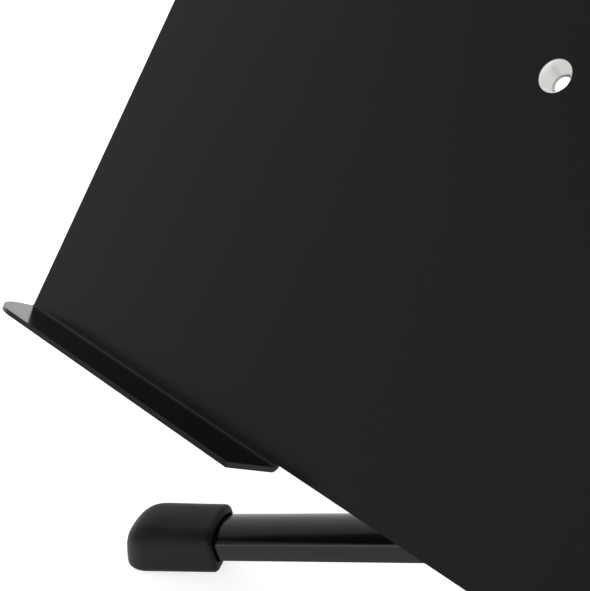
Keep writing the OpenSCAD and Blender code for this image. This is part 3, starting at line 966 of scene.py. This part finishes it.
@dataclass
class Desk(Assembly):
    """Folded sheet with two ledge tabs, its rivets and the two brackets behind it.

    The plain edge is the sheet's lower edge between the tabs, measured up from the fold. The ear's
    tip is the half width at which the round end of a bracket closes.
    """

    width: float = 350.0
    height: float = 250.0
    sheet: float = 1.5
    sheet_edge: float = 0.5
    corner: float = 14.0
    slope: float = 54.6
    tab: float = 120.0
    tab_depth: float = 18.3
    tab_corner: float = 14.4
    fold_angle: float = 94.0
    fold_radius: float = 0.75
    plain_edge: float = 0.93
    pivot_up: float = 132.0
    pivot_behind: float = 21.0
    rivet_head: Disc = Disc(8.9, 1.3, 0.22)
    rivet_tail: Disc = Disc(7.9, 1.1, 0.2)
    rivet: float = 5.0
    rivet_x: float = 28.8
    rivet_low: float = 119.0
    rivet_rise: float = 26.0
    bracket_sheet: float = 2.0
    bracket_edge: float = 0.35
    bracket_bend: float = 1.5
    bracket_width: float = 30.0
    bracket_height: float = 44.0
    bracket_corner: float = 2.5
    ear_inside: float = 9.05
    ear_radius: float = 10.0
    ear_tip: float = 0.01

    @property
    def place(self) -> Place:
        """Desk's own axes: X across, Y up the face from the fold, Z out of the face."""
        sloping = Place(self.stand.pivot, turn(Axis.X, self.slope))
        return sloping.inner([0.0, -self.pivot_up, self.pivot_behind])

    def build(self) -> None:
        """Build the sheet, the rivets and the brackets."""
        self.sheet_metal()
        self.rivets()
        self.bracket("bracket_left", -1.0)
        self.bracket("bracket_right", 1.0)

    def sheet_metal(self) -> None:
        """Fold the sheet: a grid over the width and the way from the tabs' front edge to the top.

        The way is a straight tab at the fold angle, an arc of the fold's radius and the straight
        face. Between the tabs only the face is made, from its plain edge up. Near a round corner
        the half width is w - r + r cos t where the row lies r sin t beyond the corner's centre.
        """
        corner_rows, tab_rows, fold_rows, face_rows = 12, 7, 10, 25
        gap_columns, tab_columns, end_columns = 8, 12, 10
        angle = np.radians(self.fold_angle)
        fold, bend_from = self.fold_radius / np.tan(angle / 2), 90 + self.fold_angle
        quarter = np.radians(np.linspace(0, 90, corner_rows))
        front = self.tab_depth - self.tab_corner + self.tab_corner * np.sin(quarter[::-1])
        depth = np.append(front, np.linspace(front[-1], fold, tab_rows)[1:])
        tab = depth[:, None] * np.array([np.cos(angle), np.sin(angle)])
        bend = arc([fold, self.fold_radius], self.fold_radius, bend_from, 270, fold_rows)[1:-1]
        up = np.linspace(self.plain_edge, self.height - self.corner, face_rows)
        top = self.height - self.corner + self.corner * np.sin(quarter[1:])
        face = np.concatenate([[fold], up, top])
        rows = np.concatenate([tab, bend, np.stack([face, np.zeros_like(face)], -1)])
        side = self.width / 2
        half = np.full(len(rows), side)
        half[: len(front)] += self.tab_corner * (np.cos(quarter[::-1]) - 1)
        half[-len(top) :] += self.corner * (np.cos(quarter[1:]) - 1)
        widest = max(self.corner, self.tab_corner)
        edge, inside = side - widest, side - self.tab
        runs = (0.0, inside, gap_columns), (inside, edge, tab_columns), (edge, side, end_columns)
        right = np.concatenate([[0.0], *(np.linspace(*run)[1:] for run in runs)])
        columns = np.concatenate([-right[:0:-1], right])
        share = np.clip((np.abs(columns) - edge) / widest, 0, 1)
        reach = np.minimum(np.abs(columns), edge) + share * (half[:, None] - edge)
        grid = lattice(np.sign(columns) * reach, rows[:, :1], rows[:, 1:])
        between = np.abs((columns[1:] + columns[:-1]) / 2) < inside
        below = np.arange(len(rows) - 1) <= len(tab) + len(bend)
        keep = ~(below[:, None] & between)
        sheet = (self.sheet, self.sheet_edge)
        self.folded("desk_sheet", grid, self.place, sheet, "desk_plate", keep)

    def rivets(self) -> None:
        """Turn the four rivets that hold the brackets."""
        grip = self.sheet + self.bracket_sheet
        section = rivet_profile(self.rivet_head, self.rivet_tail, self.rivet, 0.0, -grip)
        sides = (-self.rivet_x, self.rivet_x)
        heights = (self.rivet_low, self.rivet_low + self.rivet_rise)
        places = [self.place.inner([x, up, 0.0]) for x in sides for up in heights]
        self.turned("rivets", section, places, "desk_rivets", steps=RIVET_STEPS)

    def bracket(self, node: str, side: float) -> None:
        """Fold a bracket: a grid along the way from the flange's outer edge to the ear's end.

        The half width is constant on the flange and the bend, apart from the flange's round
        corners. It then falls straight to the ear's radius at the pivot and follows the ear's
        circle: the root of r squared less the square of the distance past the pivot.

        Args:
            node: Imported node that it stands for.
            side: Plus or minus one, for right or left.
        """
        corner_rows, flange_rows, bend_rows, fall_rows, ear_rows, columns = 7, 6, 10, 8, 16, 17
        outer = self.bracket_bend + self.bracket_sheet
        bend_x, bend_z = self.ear_inside + outer, -self.sheet - outer
        flange_half = self.bracket_height / 2
        quarter = np.radians(np.linspace(90, 0, corner_rows))
        round_off = self.bracket_corner * (1 - np.sin(quarter))
        corner_x = self.ear_inside + self.bracket_width - round_off
        flange_x = np.append(corner_x, np.linspace(corner_x[-1], bend_x, flange_rows)[1:])
        flange = np.stack([flange_x, np.full_like(flange_x, -self.sheet)], -1)
        bend = arc([bend_x, bend_z], outer, 90, 180, bend_rows)[1:]
        down = np.linspace(bend_z, -self.pivot_behind, fall_rows)[1:]
        past = self.ear_radius * np.sin(np.radians(np.linspace(0, 90, ear_rows)))[1:]
        ear_z = np.append(down, -self.pivot_behind - past)
        ear = np.stack([np.full_like(ear_z, self.ear_inside), ear_z], -1)
        way = np.concatenate([flange, bend, ear])
        fall = (down + self.pivot_behind) / (bend_z + self.pivot_behind)
        half = np.concatenate([
            flange_half + self.bracket_corner * (np.cos(quarter) - 1),
            np.full(len(flange) + len(bend) - corner_rows, flange_half),
            self.ear_radius + fall * (flange_half - self.ear_radius),
            np.sqrt(np.maximum(self.ear_radius**2 - past**2, self.ear_tip**2)),
        ])
        y = self.pivot_up + half[:, None] * np.linspace(-1, 1, columns) * side
        grid = lattice(way[:, :1] * side, y, way[:, 1:])
        sheet = (self.bracket_sheet, self.bracket_edge)
        self.folded(f"{node}_folded", grid, self.place, sheet, node)


@dataclass
class Knob:
    """Lobed hand knob on a boss, with a blind bore: sizes and surface shared by both clamps."""

    diameter: float = 30.0
    rim: float = 10.0
    boss: float = 15.0
    boss_height: float = 5.0
    lobes: int = 6
    hollow: float = 2.0
    lobes_begin: float = 7.6
    lobes_full: float = 14.0
    dome: float = 34.0
    bore_edge: float = 0.3
    boss_edge: float = 0.5
    neck: float = 1.2
    back_edge: float = 1.4
    face_edge: float = 1.8

    def surface(self, bore: float, bore_depth: float) -> Grid:
        """Work out the knob on its boss at Z = 0.

        The section is turned about Z with its radius times 1 + w (f - 1). The lobes are
        f = 1 - h (1 - cos n t) / d, with the hollow h and the diameter d, and w rises smoothly
        from 0 at the boss to 1 near the rim. The face is part of a sphere.

        Args:
            bore: Radius of the bore.
            bore_depth: Depth of the bore.

        Returns:
            Grid of points, section by angle.
        """
        around, face_steps, edge_steps = 180, 14, 8
        radius, top = self.diameter / 2, self.boss_height + self.rim
        across = np.linspace(radius, 0, face_steps)
        face = top - self.dome + np.sqrt(self.dome**2 - across**2)
        corners = [
            [0.0, bore_depth],
            [bore, bore_depth],
            [bore, 0.0],
            [self.boss / 2, 0.0],
            [self.boss / 2, self.boss_height],
            [radius, self.boss_height],
            *np.stack([across, face], -1).tolist(),
        ]
        edges = (self.bore_edge, self.boss_edge, self.neck, self.back_edge, self.face_edge)
        radii = np.zeros(len(corners))
        radii[2 : 2 + len(edges)] = edges
        section = round_corners(corners, radii, closed=False, steps=edge_steps)
        angle = np.linspace(0, 2 * np.pi, around, endpoint=False)
        lobe = 1 - self.hollow * (1 - np.cos(self.lobes * angle)) / self.diameter
        span = self.lobes_full - self.lobes_begin
        rise = np.clip((section[:, :1] - self.lobes_begin) / span, 0, 1)
        weight = rise * rise * (3 - 2 * rise)
        return revolve(section, around, 1 + weight * (lobe - 1))


@dataclass
class TiltClamp(Assembly):
    """Bolt, washers and knob that hold the desk at its slope."""

    head_half: float = 8.05
    friction: Disc = Disc(18.0, 1.0, 0.15)
    bracket_sheet: float = 2.0
    bolt: float = 6.0
    bolt_head: Disc = Disc(14.0, 3.6, 0.5)
    bolt_end: float = 0.5
    washer: Disc = Disc(14.0, 1.2, 0.25)
    swing: float = 0.15
    insert: float = 9.0
    insert_depth: float = 11.0
    insert_spare: float = 0.3
    knob: Knob = field(default_factory=Knob)

    def build(self) -> None:
        """Build the bolt, the washers and the knob, one after the other along the tilt axis."""
        inside = self.head_half + self.friction.height
        outside = inside + self.bracket_sheet
        knob_x = outside + self.washer.height + self.swing
        radius, length = self.bolt / 2, outside + knob_x + self.insert_depth
        line = [[radius, 0.0], [radius, -length], [0.0, -length]]
        shank = round_corners(line, self.bolt_end, closed=False)
        bolt = np.concatenate([self.bolt_head.dome(), shank])
        self.turned("carriage_bolt", bolt, [self.stand.tilt(-outside, -1.0)], "tilt_bolt")
        bore = radius + RUN_FIT
        fibre, steel = self.friction.ring(bore), self.washer.ring(bore)
        sides = [self.stand.tilt(x) for x in (-inside, self.head_half)]
        self.turned("fibre_washers", fibre, sides, "friction_washers", ring=True)
        self.turned("steel_washer", steel, [self.stand.tilt(outside)], "flat_washer", ring=True)
        grip = self.knob.surface(self.insert / 2 + SEAT_FIT, self.insert_depth + self.insert_spare)
        knob = Skin("tilt_hand_knob").add(grip, self.stand.tilt(knob_x))
        self.seat(knob.build(), "tilt_knob")
        self.keep("tilt_knob_insert")


@dataclass
class Column(Assembly):
    """Telescopic column: fixed outer tube with its bush, sliding inner tube and tilt head.

    The bush's edges go round its section from the foot of its bore.
    """

    wall: float = 1.2
    tube_edge: float = 0.3
    bush_flange: float = 1.5
    bush_wall: float = 0.73
    bush_edges: tuple[float, ...] = (0.2, 0.2, 0.1, 0.2, 0.5, 0.3)
    head_edge: float = 0.9
    pin: float = 3.0
    pin_edge: float = 0.35

    def build(self) -> None:
        """Build the tubes, the bush and the pin, and round the head."""
        outer = self.tube("outer_column_tube", "outer_tube")
        inner = self.tube("inner_column_tube", "inner_tube")
        self.bush(outer, inner)
        self.soften(self.head_edge, "tilt_head")
        self.cross_pin()
        self.keep("slide_shoe")

    def tube(self, name: str, node: str) -> float:
        """Turn a tube with eased ends.

        Args:
            name: Name of the piece.
            node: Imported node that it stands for, which gives its diameter and its ends.

        Returns:
            Its outer radius.
        """
        low, high = node_box(node)
        radius = (high[0] - low[0]) / 2
        section = ring_profile(radius - self.wall, radius, low[2], high[2], self.tube_edge)
        self.turned(name, section, [self.stand.column], node, ring=True)
        return radius

    def bush(self, outer: float, inner: float) -> None:
        """Turn the bush: a sleeve round the inner tube, with a flange that lies on the outer tube.

        Args:
            outer: Radius of the outer tube.
            inner: Radius of the inner tube.
        """
        low, high = (corner[2] for corner in node_box("guide_bush"))
        bore = inner + RUN_FIT
        sleeve, shoulder = bore + self.bush_wall, high - self.bush_flange
        corners = [
            [bore, low],
            [sleeve, low],
            [sleeve, shoulder],
            [outer, shoulder],
            [outer, high],
            [bore, high],
        ]
        section = round_corners(corners, self.bush_edges)
        self.turned("nylon_bush", section, [self.stand.column], "guide_bush", ring=True)

    def cross_pin(self) -> None:
        """Turn the plain pin that goes across the head and the inner tube."""
        low, high = node_box("head_pin")
        radius, half = self.pin / 2, (high[1] - low[1]) / 2
        corners = [[0.0, -half], [radius, -half], [radius, half], [0.0, half]]
        section = round_corners(corners, self.pin_edge, closed=False)
        at = Place((low + high) / 2, turn(Axis.X, -90.0))
        self.turned("cross_pin", section, [at], "head_pin", steps=PIN_STEPS)


@dataclass
class HeightClamp(Assembly):
    """Collar round the outer tube with its nut, hand screw and knob."""

    collar_edge: float = 0.8
    screw: float = 6.0
    screw_seat: float = 10.0
    nut_edge: float = 0.3
    knob: Knob = field(default_factory=Knob)

    def build(self) -> None:
        """Round the collar, and build the nut and the knob along the screw."""
        self.soften(self.collar_edge, "clamp_collar")
        low, high = node_box("clamp_nut")
        nut = Disc(high[0] - low[0], high[1] - low[1], self.nut_edge)
        section = nut.ring(self.screw / 2 + RUN_FIT)
        along = turn(Axis.X, -90.0)
        at = Place(np.array([0.0, low[1], self.stand.clamp[2]]), along)
        self.turned("brass_nut", section, [at], "clamp_nut", ring=True)
        grip = self.knob.surface(self.screw / 2 + SEAT_FIT, self.screw_seat)
        knob = Skin("height_hand_knob").add(grip, Place(self.stand.clamp, along))
        self.seat(knob.build(), "height_knob")
        self.keep("clamp_pad", "height_screw")


@dataclass
class Hub(Assembly):
    """Two plates on a spacer, bolted up from below, with the leg pivots and stop pins."""

    plate_edge: float = 0.5
    core_edge: float = 0.4
    bolt: float = 8.0
    bolt_edge: float = 0.5
    washer_edge: float = 0.3
    pivot_radius: float = 26.0
    pivot: float = 6.0
    pivot_head: Disc = Disc(11.0, 2.0, 0.3)
    stop_edge: float = 0.3

    def build(self) -> None:
        """Round the plates, core, bolt and pins, and build the washer and the pivot rivets."""
        self.soften(self.plate_edge, "hub_top_plate", "hub_bottom_plate")
        self.soften(self.core_edge, "hub_core")
        self.soften(self.bolt_edge, "base_bolt")
        low, high = node_box("base_washer")
        bore, radius = self.bolt / 2 + SEAT_FIT, (high[0] - low[0]) / 2
        washer = ring_profile(bore, radius, low[2], high[2], self.washer_edge)
        self.turned("base_steel_washer", washer, [self.stand.column], "base_washer", ring=True)
        top, bottom = node_box("hub_top_plate")[1][2], node_box("hub_bottom_plate")[0][2]
        rivet = rivet_profile(self.pivot_head, self.pivot_head, self.pivot, top, bottom)
        out = [self.pivot_radius, 0.0, 0.0]
        places = [self.stand.towards(side).inner(out) for side in Side]
        self.turned("leg_pivot_rivets", rivet, places, "pivot_rivets", steps=PIVOT_STEPS)
        self.soften(self.stop_edge, "stop_pins")


@dataclass
class Leg(Assembly):
    """One leg: channel with a rounded top, cast knuckle, cross rivet and rubber boot.

    A melt is a length over which two walls of the boot run into each other. The core is the height
    of the line inside the boot from which its walls are found, and far is past any of them.
    """

    side: Side = Side.LEFT
    width: float = 17.5
    height: float = 9.2
    crown: float = 2.4
    wall: float = 1.2
    crease: float = 2.2
    slope: float = 14.0
    start: float = 44.061
    end: float = 158.0
    sole: float = 3.8
    tongue: float = 20.0
    tongue_gap: float = 0.3
    knuckle_edge: float = 0.5
    rivet: float = 3.0
    rivet_head: Disc = Disc(5.6, 1.2, 0.2)
    boot: float = 28.8
    toe: float = 9.4
    toe_edge: float = 17.0
    boot_wall: float = 2.5
    boot_cover: float = 5.4
    boot_taper: float = 2.6
    boot_crown: float = 28.0
    boot_under: float = 3.5
    boot_melt: float = 1.5
    boot_crease: float = 60.0
    upper_edge: float = 6.0
    lower_edge: float = 2.0
    ground_melt: float = 0.28
    rim: float = 1.75
    mouth: float = 0.45
    mouth_edge: float = 0.2
    pocket_melt: float = 0.2
    pocket_end: float = 1.0
    core: float = 4.4
    core_end: float = 1.2
    far: float = 30.0

    @property
    def place(self) -> Place:
        """Leg's own axes: X down the leg to its end, Y across, Z out of its top."""
        end = [self.end, 0.0, self.sole]
        return self.stand.towards(self.side).inner(end, turn(Axis.Y, self.slope))

    @property
    def length(self) -> float:
        """Length of the channel along its slope."""
        return (self.end - self.start) / np.cos(np.radians(self.slope))

    @property
    def crown_circle(self) -> Pair:
        """Radius of the rounded top and the height of its centre."""
        radius = (self.width**2 / 4 + self.crown**2) / (2 * self.crown)
        return radius, self.height - radius

    def build(self) -> None:
        """Build the channel, the rivet and the boot, and round the knuckle."""
        self.channel()
        self.soften(self.knuckle_edge, f"knuckle_{self.side.label}")
        self.cross_rivet()
        self.rubber_boot()

    def wall_line(self, inset: float, crease: float) -> Grid:
        """One face of the channel's section, from right to left over the crown.

        A crease arc of radius c touches the side at half width w and the crown of radius R. Its
        centre is c inside the side, and above the crown's centre by the root of (R - c) squared
        less (w - c) squared.

        Args:
            inset: Distance inside the outer face.
            crease: Radius of the crease between side and crown.

        Returns:
            Points across the section.
        """
        crease_steps, crown_steps = 7, 33
        radius, centre = self.crown_circle
        radius, half = radius - inset, self.width / 2 - inset
        level = centre + np.sqrt((radius - crease) ** 2 - (half - crease) ** 2)
        lean = np.degrees(np.arctan2(level - centre, half - crease))
        right = arc([half - crease, level], crease, 0, lean, crease_steps)
        top = arc([0.0, centre], radius, lean, 180 - lean, crown_steps)[1:-1]
        return np.concatenate([right, top, right[::-1] * [-1, 1]])

    def channel(self) -> None:
        """Carry the channel's section down the leg: (s, y, z) over stations s and section (y, z).

        The section is the outer face, a rolled lower edge, the inner face and the other rolled
        edge.
        """
        roll_steps, rows = 9, 24
        outer = self.wall_line(0.0, self.crease)
        inner = self.wall_line(self.wall, self.crease / 2)[::-1]
        middle, roll = self.width / 2 - self.wall / 2, self.wall / 2
        left, right = (arc([y, roll], roll, 180, 360, roll_steps) for y in (-middle, middle))
        section = np.concatenate([outer, left, inner, right])
        stations = np.linspace(-self.length, 0.0, rows)[:, None]
        grid = lattice(stations, section[:, 0], section[:, 1])
        skin = Skin(f"leg_channel_{self.side.label}").add(grid, self.place)
        self.seat(skin.close_ends(len(section)).build(), f"leg_{self.side.label}")

    def cross_rivet(self) -> None:
        """Turn the rivet that holds the knuckle, across the middle of the knuckle's tongue."""
        radius, centre = self.crown_circle
        half = self.width / 2
        shoulder = centre + np.sqrt((radius - self.wall) ** 2 - (half - self.wall) ** 2)
        section = rivet_profile(self.rivet_head, self.rivet_head, self.rivet, half, -half)
        middle = [-self.length + self.tongue / 2, 0.0, (shoulder - self.tongue_gap) / 2]
        at = self.place.inner(middle, turn(Axis.X, -90.0))
        name, node = f"channel_rivet_{self.side.label}", f"leg_rivet_{self.side.label}"
        self.turned(name, section, [at], node, steps=PIN_STEPS)

    def boot_form(self, points: Grid) -> Grid:
        """Distance to the boot's outer wall, negative inside, in the leg's axes.

        The boot is a round-ended box round the channel, with one radius along its upper edges and
        one along its lower edges. Its top is crowned across by an arc and falls evenly towards the
        mouth. An arc over the toe, which touches the sloping top and the upright front, cuts it
        softly, and the table cuts it flat.

        Args:
            points: Points in the leg's axes.

        Returns:
            Distance of each point.
        """
        x, y, z = points[..., 0], np.abs(points[..., 1]), points[..., 2]
        slope = np.radians(self.slope)
        reach = self.end + x * np.cos(slope) + z * np.sin(slope)
        level = self.sole - x * np.sin(slope) + z * np.cos(slope)
        half = self.width / 2 + self.boot_wall
        top, bottom = self.height + self.boot_cover, -self.boot_under
        middle = (top + bottom) / 2
        corner = np.where(z > middle, self.upper_edge, self.lower_edge)
        crown = self.boot_crown - np.sqrt(self.boot_crown**2 - np.minimum(y, half) ** 2)
        fall = self.boot_taper * np.clip(-x / self.boot, 0, 1)
        lift = (crown + fall) * np.clip((z - middle) / (top - middle), 0, 1)
        front = self.end + self.toe
        plan = np.where(reach > front - half, np.hypot(reach - front + half, y), y) - half
        side = plan + corner
        rise = np.abs(z + lift - middle) - (top - bottom) / 2 + corner
        rounded = np.hypot(np.maximum(side, 0), np.maximum(rise, 0))
        box = np.minimum(np.maximum(side, rise), 0) + rounded - corner
        offset = self.end * np.sin(slope) + self.sole * np.cos(slope) + top
        edge_x = front - self.toe_edge
        edge_z = (offset - self.toe_edge - edge_x * np.sin(slope)) / np.cos(slope)
        ahead, above = reach - edge_x, level + lift * np.cos(slope) - edge_z
        down = ahead * np.cos(slope) - above * np.sin(slope)
        out = ahead * np.sin(slope) + above * np.cos(slope)
        over = np.where(down > 0, np.hypot(down, out), out) - self.toe_edge
        cap = np.where(above > 0, over, ahead - self.toe_edge)
        return soft_max([soft_max([box, cap], self.boot_melt), -level], self.ground_melt)

    def pocket_form(self, points: Grid) -> Grid:
        """Distance to the boot's pocket: the channel's outline grown by the gap at the mouth.

        Args:
            points: Points in the leg's axes.

        Returns:
            Distance of each point, negative inside.
        """
        radius, centre = self.crown_circle
        y, z = np.abs(points[..., 1]), points[..., 2]
        sides = [y - self.width / 2, -z, np.hypot(y, z - centre) - radius]
        return soft_max(sides, self.pocket_melt) - self.mouth

    def rubber_boot(self) -> None:
        """Find the boot's wall along rays from a line inside it, with a round toe and rolled rim.

        Rays leave the line square to it as far as the toe, and then turn through a quarter circle
        to its pole. The pocket starts on the line near the channel's end. A quarter round leads
        out of it at the mouth, and after a narrow land a larger one goes over to the outer wall.
        """
        columns, wall_rows, toe_rows, rim_rows, mouth_rows = 120, 26, 25, 8, 6
        around = np.linspace(0, 2 * np.pi, columns, endpoint=False)
        across = np.stack([np.zeros_like(around), np.cos(around), np.sin(around)], -1)
        ahead, core = np.array([1.0, 0.0, 0.0]), np.array([0.0, 0.0, self.core])
        back = -self.boot
        along = np.linspace(back + self.rim, -self.core_end, wall_rows)
        line = along[:, None, None] * ahead + core
        sides = line + across * meet(self.boot_form, line, across, self.far)[..., None]
        swing = np.radians(np.linspace(0, 90, toe_rows))[1:, None, None]
        heading = across * np.cos(swing) + ahead * np.sin(swing)
        toe = line[-1] + heading * meet(self.boot_form, line[-1], heading, self.far)[..., None]
        outer = meet(self.boot_form, line[0], across, self.far)
        pocket = meet(self.pocket_form, line[0], across, self.far)
        roll = np.radians(np.linspace(90, 0, rim_rows))[:-1, None]
        lead = np.radians(np.linspace(90, 0, mouth_rows))[:, None]
        rim_x = np.concatenate([
            [[-self.pocket_end], [-self.pocket_end], [-self.boot / 2]],
            back + self.mouth_edge * (1 - np.cos(lead)),
            back + self.rim * (1 - np.sin(roll)),
        ])
        rim_r = np.concatenate([
            pocket * np.array([[0.0], [1.0], [1.0]]),
            pocket + self.mouth_edge * (1 - np.sin(lead)),
            outer - self.rim * (1 - np.cos(roll)),
        ])
        rim = rim_x[..., None] * ahead + core + across * rim_r[..., None]
        skin = Skin(f"rubber_boot_{self.side.label}")
        skin.add(np.concatenate([rim, sides, toe]), self.place)
        self.seat(skin.build(crease=self.boot_crease), f"foot_{self.side.label}")


@dataclass(frozen=True)
class Patch:
    """Part of the room that is lighter or darker than the rest.

    It sets in at one cosine of the angle to its middle and is full at a second one, where it adds
    its level.
    """

    towards: Triple
    begin: float
    full: float
    level: float


@dataclass
class Studio:
    """Pale floor, one soft lamp, a wide pale room and the camera at the photograph's angle."""

    desk: Desk
    azimuth: float = 47.52
    elevation: float = 28.17
    lens: float = 69.806
    sensor: float = 36.0
    from_corner: Triple = (302.97, -160.40, 181.38)
    clip: Pair = (10.0, 20000.0)
    floor_size: float = 6000.0
    floor_points: int = 9
    floor_colour: str = "#e6e6e6"
    floor_glow: float = 0.66
    lamp_at: Triple = (-150.0, 150.0, 2000.0)
    lamp_size: float = 2400.0
    lamp_watts: float = 2.0
    room: float = 0.8
    patches: tuple[Patch, ...] = (
        # Paler wall behind the stand on the left
        Patch((-0.62, 0.78, 0.05), 0.3, 0.95, 0.25),
        # Ceiling
        Patch((0.0, 0.0, 1.0), 0.5, 0.75, -0.17),
        # Far corner behind the stand on the right
        Patch((0.85, 0.5, 0.15), 0.3, 0.9, -0.4),
        # Dark frame of a panel in front, and the bright panel, which also makes up for the frame
        Patch((0.44, -0.865, 0.25), 0.67, 0.74, -0.5),
        Patch((0.44, -0.865, 0.25), 0.79, 0.83, 1.9),
    )

    def build(self) -> None:
        """Set up floor, light and camera."""
        self.floor()
        self.surround()
        self.lamp()
        self.camera()
        bpy.context.scene.view_settings.view_transform = "Standard"

    def floor(self) -> None:
        """Lay the floor: a flat grid of pale paper.

        It glows for rays of direct sight, mirrors and glass alone, and so keeps the shadow.
        """
        side = np.linspace(-self.floor_size / 2, self.floor_size / 2, self.floor_points)
        grid = lattice(side, side[:, None], np.zeros(1))
        skin = Skin("studio_floor").add(grid, Place(np.zeros(3)), loop_columns=False)
        obj = skin.build(closed=False)
        material = bpy.data.materials.new("studio_paper")
        tree = bare_tree(material)
        path = add_node(tree, "ShaderNodeLightPath").outputs
        seen = path["Is Camera Ray"]
        for ray in ("Is Glossy Ray", "Is Transmission Ray"):
            rays = {0: seen, 1: path[ray]}
            seen = add_node(tree, "ShaderNodeMath", {"operation": "MAXIMUM"}, rays).outputs["Value"]
        level = {0: seen, 1: self.floor_glow}
        strength = add_node(tree, "ShaderNodeMath", {"operation": "MULTIPLY"}, level)
        glow = add_node(
            tree, "ShaderNodeEmission", inputs={"Strength": strength.outputs["Value"]}
        )
        paper = add_node(
            tree, "ShaderNodeBsdfDiffuse", inputs={"Color": linear(self.floor_colour)}
        )
        parts = {0: paper.outputs["BSDF"], 1: glow.outputs["Emission"]}
        both = add_node(tree, "ShaderNodeAddShader", inputs=parts)
        add_node(tree, "ShaderNodeOutputMaterial", inputs={"Surface": both.outputs["Shader"]})
        obj.data.materials.append(material)

    def surround(self) -> None:
        """Light the room: its level, plus each patch's times a smooth step of the cosine to it.

        Direct sight always sees plain white.
        """
        world = bpy.data.worlds.new("studio_room")
        tree = bare_tree(world)
        sight = add_node(tree, "ShaderNodeTexCoord").outputs["Generated"]
        level: Any = self.room
        for patch in self.patches:
            both = {0: sight, 1: patch.towards}
            cosine = add_node(tree, "ShaderNodeVectorMath", {"operation": "DOT_PRODUCT"}, both)
            span = {
                "Value": cosine.outputs["Value"],
                "From Min": patch.begin,
                "From Max": patch.full,
                "To Max": patch.level,
            }
            smooth = {"interpolation_type": "SMOOTHSTEP"}
            step = add_node(tree, "ShaderNodeMapRange", smooth, span).outputs["Result"]
            total = add_node(tree, "ShaderNodeMath", {"operation": "ADD"}, {0: step, 1: level})
            level = total.outputs["Value"]
        direct = add_node(tree, "ShaderNodeLightPath").outputs["Is Camera Ray"]
        choice = {"Factor": direct, "A": level, "B": 1.0}
        strength = add_node(tree, "ShaderNodeMix", {"data_type": "FLOAT"}, choice)
        white = {"Color": (1.0, 1.0, 1.0, 1.0), "Strength": strength.outputs["Result"]}
        light = add_node(tree, "ShaderNodeBackground", inputs=white)
        add_node(tree, "ShaderNodeOutputWorld", inputs={"Surface": light.outputs["Background"]})
        bpy.context.scene.world = world

    def lamp(self) -> None:
        """Hang the soft square lamp, facing the frame's origin on the table."""
        light = bpy.data.lights.new("overhead_softbox", "AREA")
        light.shape = "SQUARE"
        light.size = self.lamp_size * MM
        light.energy = self.lamp_watts
        obj = bpy.data.objects.new("overhead_softbox", light)
        obj.location = Vector(self.lamp_at) * MM
        obj.rotation_euler = Vector(self.lamp_at).to_track_quat("Z", "Y").to_euler()
        bpy.context.scene.collection.objects.link(obj)

    def camera(self) -> None:
        """Set the camera by its distance from the left end of the ledge's fold.

        It looks against the vector (sin a cos e, -cos a cos e, sin e) of its azimuth a and
        elevation e.
        """
        data = bpy.data.cameras.new("photograph")
        data.lens = self.lens
        data.sensor_width = self.sensor
        data.sensor_fit = "AUTO"
        data.clip_start, data.clip_end = (distance * MM for distance in self.clip)
        around, up = np.radians(self.azimuth), np.radians(self.elevation)
        back = Vector((np.sin(around) * np.cos(up), -np.cos(around) * np.cos(up), np.sin(up)))
        corner = self.desk.place.out(np.array([-self.desk.width / 2, 0.0, 0.0]))
        obj = bpy.data.objects.new("photograph", data)
        obj.location = Vector((corner + np.array(self.from_corner)).tolist()) * MM
        obj.rotation_euler = back.to_track_quat("Z", "Y").to_euler()
        bpy.context.scene.collection.objects.link(obj)
        bpy.context.scene.camera = obj


def main() -> None:
    """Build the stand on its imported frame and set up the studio."""
    logging.basicConfig(level=logging.INFO, format="%(name)s: %(message)s")
    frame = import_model()
    finishes = (
        PowderCoat(),
        GlossEnamel(),
        MouldedRubber(),
        NickelPlate(),
        ZincPlate(),
        TurnedBrass(),
        MouldedPlastic(),
        NaturalNylon(),
        VulcanisedFibre(),
    )
    stand = Stand.from_frame(frame, finishes)
    desk = Desk(stand)
    legs = [Leg(stand, side) for side in Side]
    for group in (desk, TiltClamp(stand), Column(stand), HeightClamp(stand), Hub(stand), *legs):
        group.build()
    Studio(desk).build()


if __name__ == "__main__":
    main()
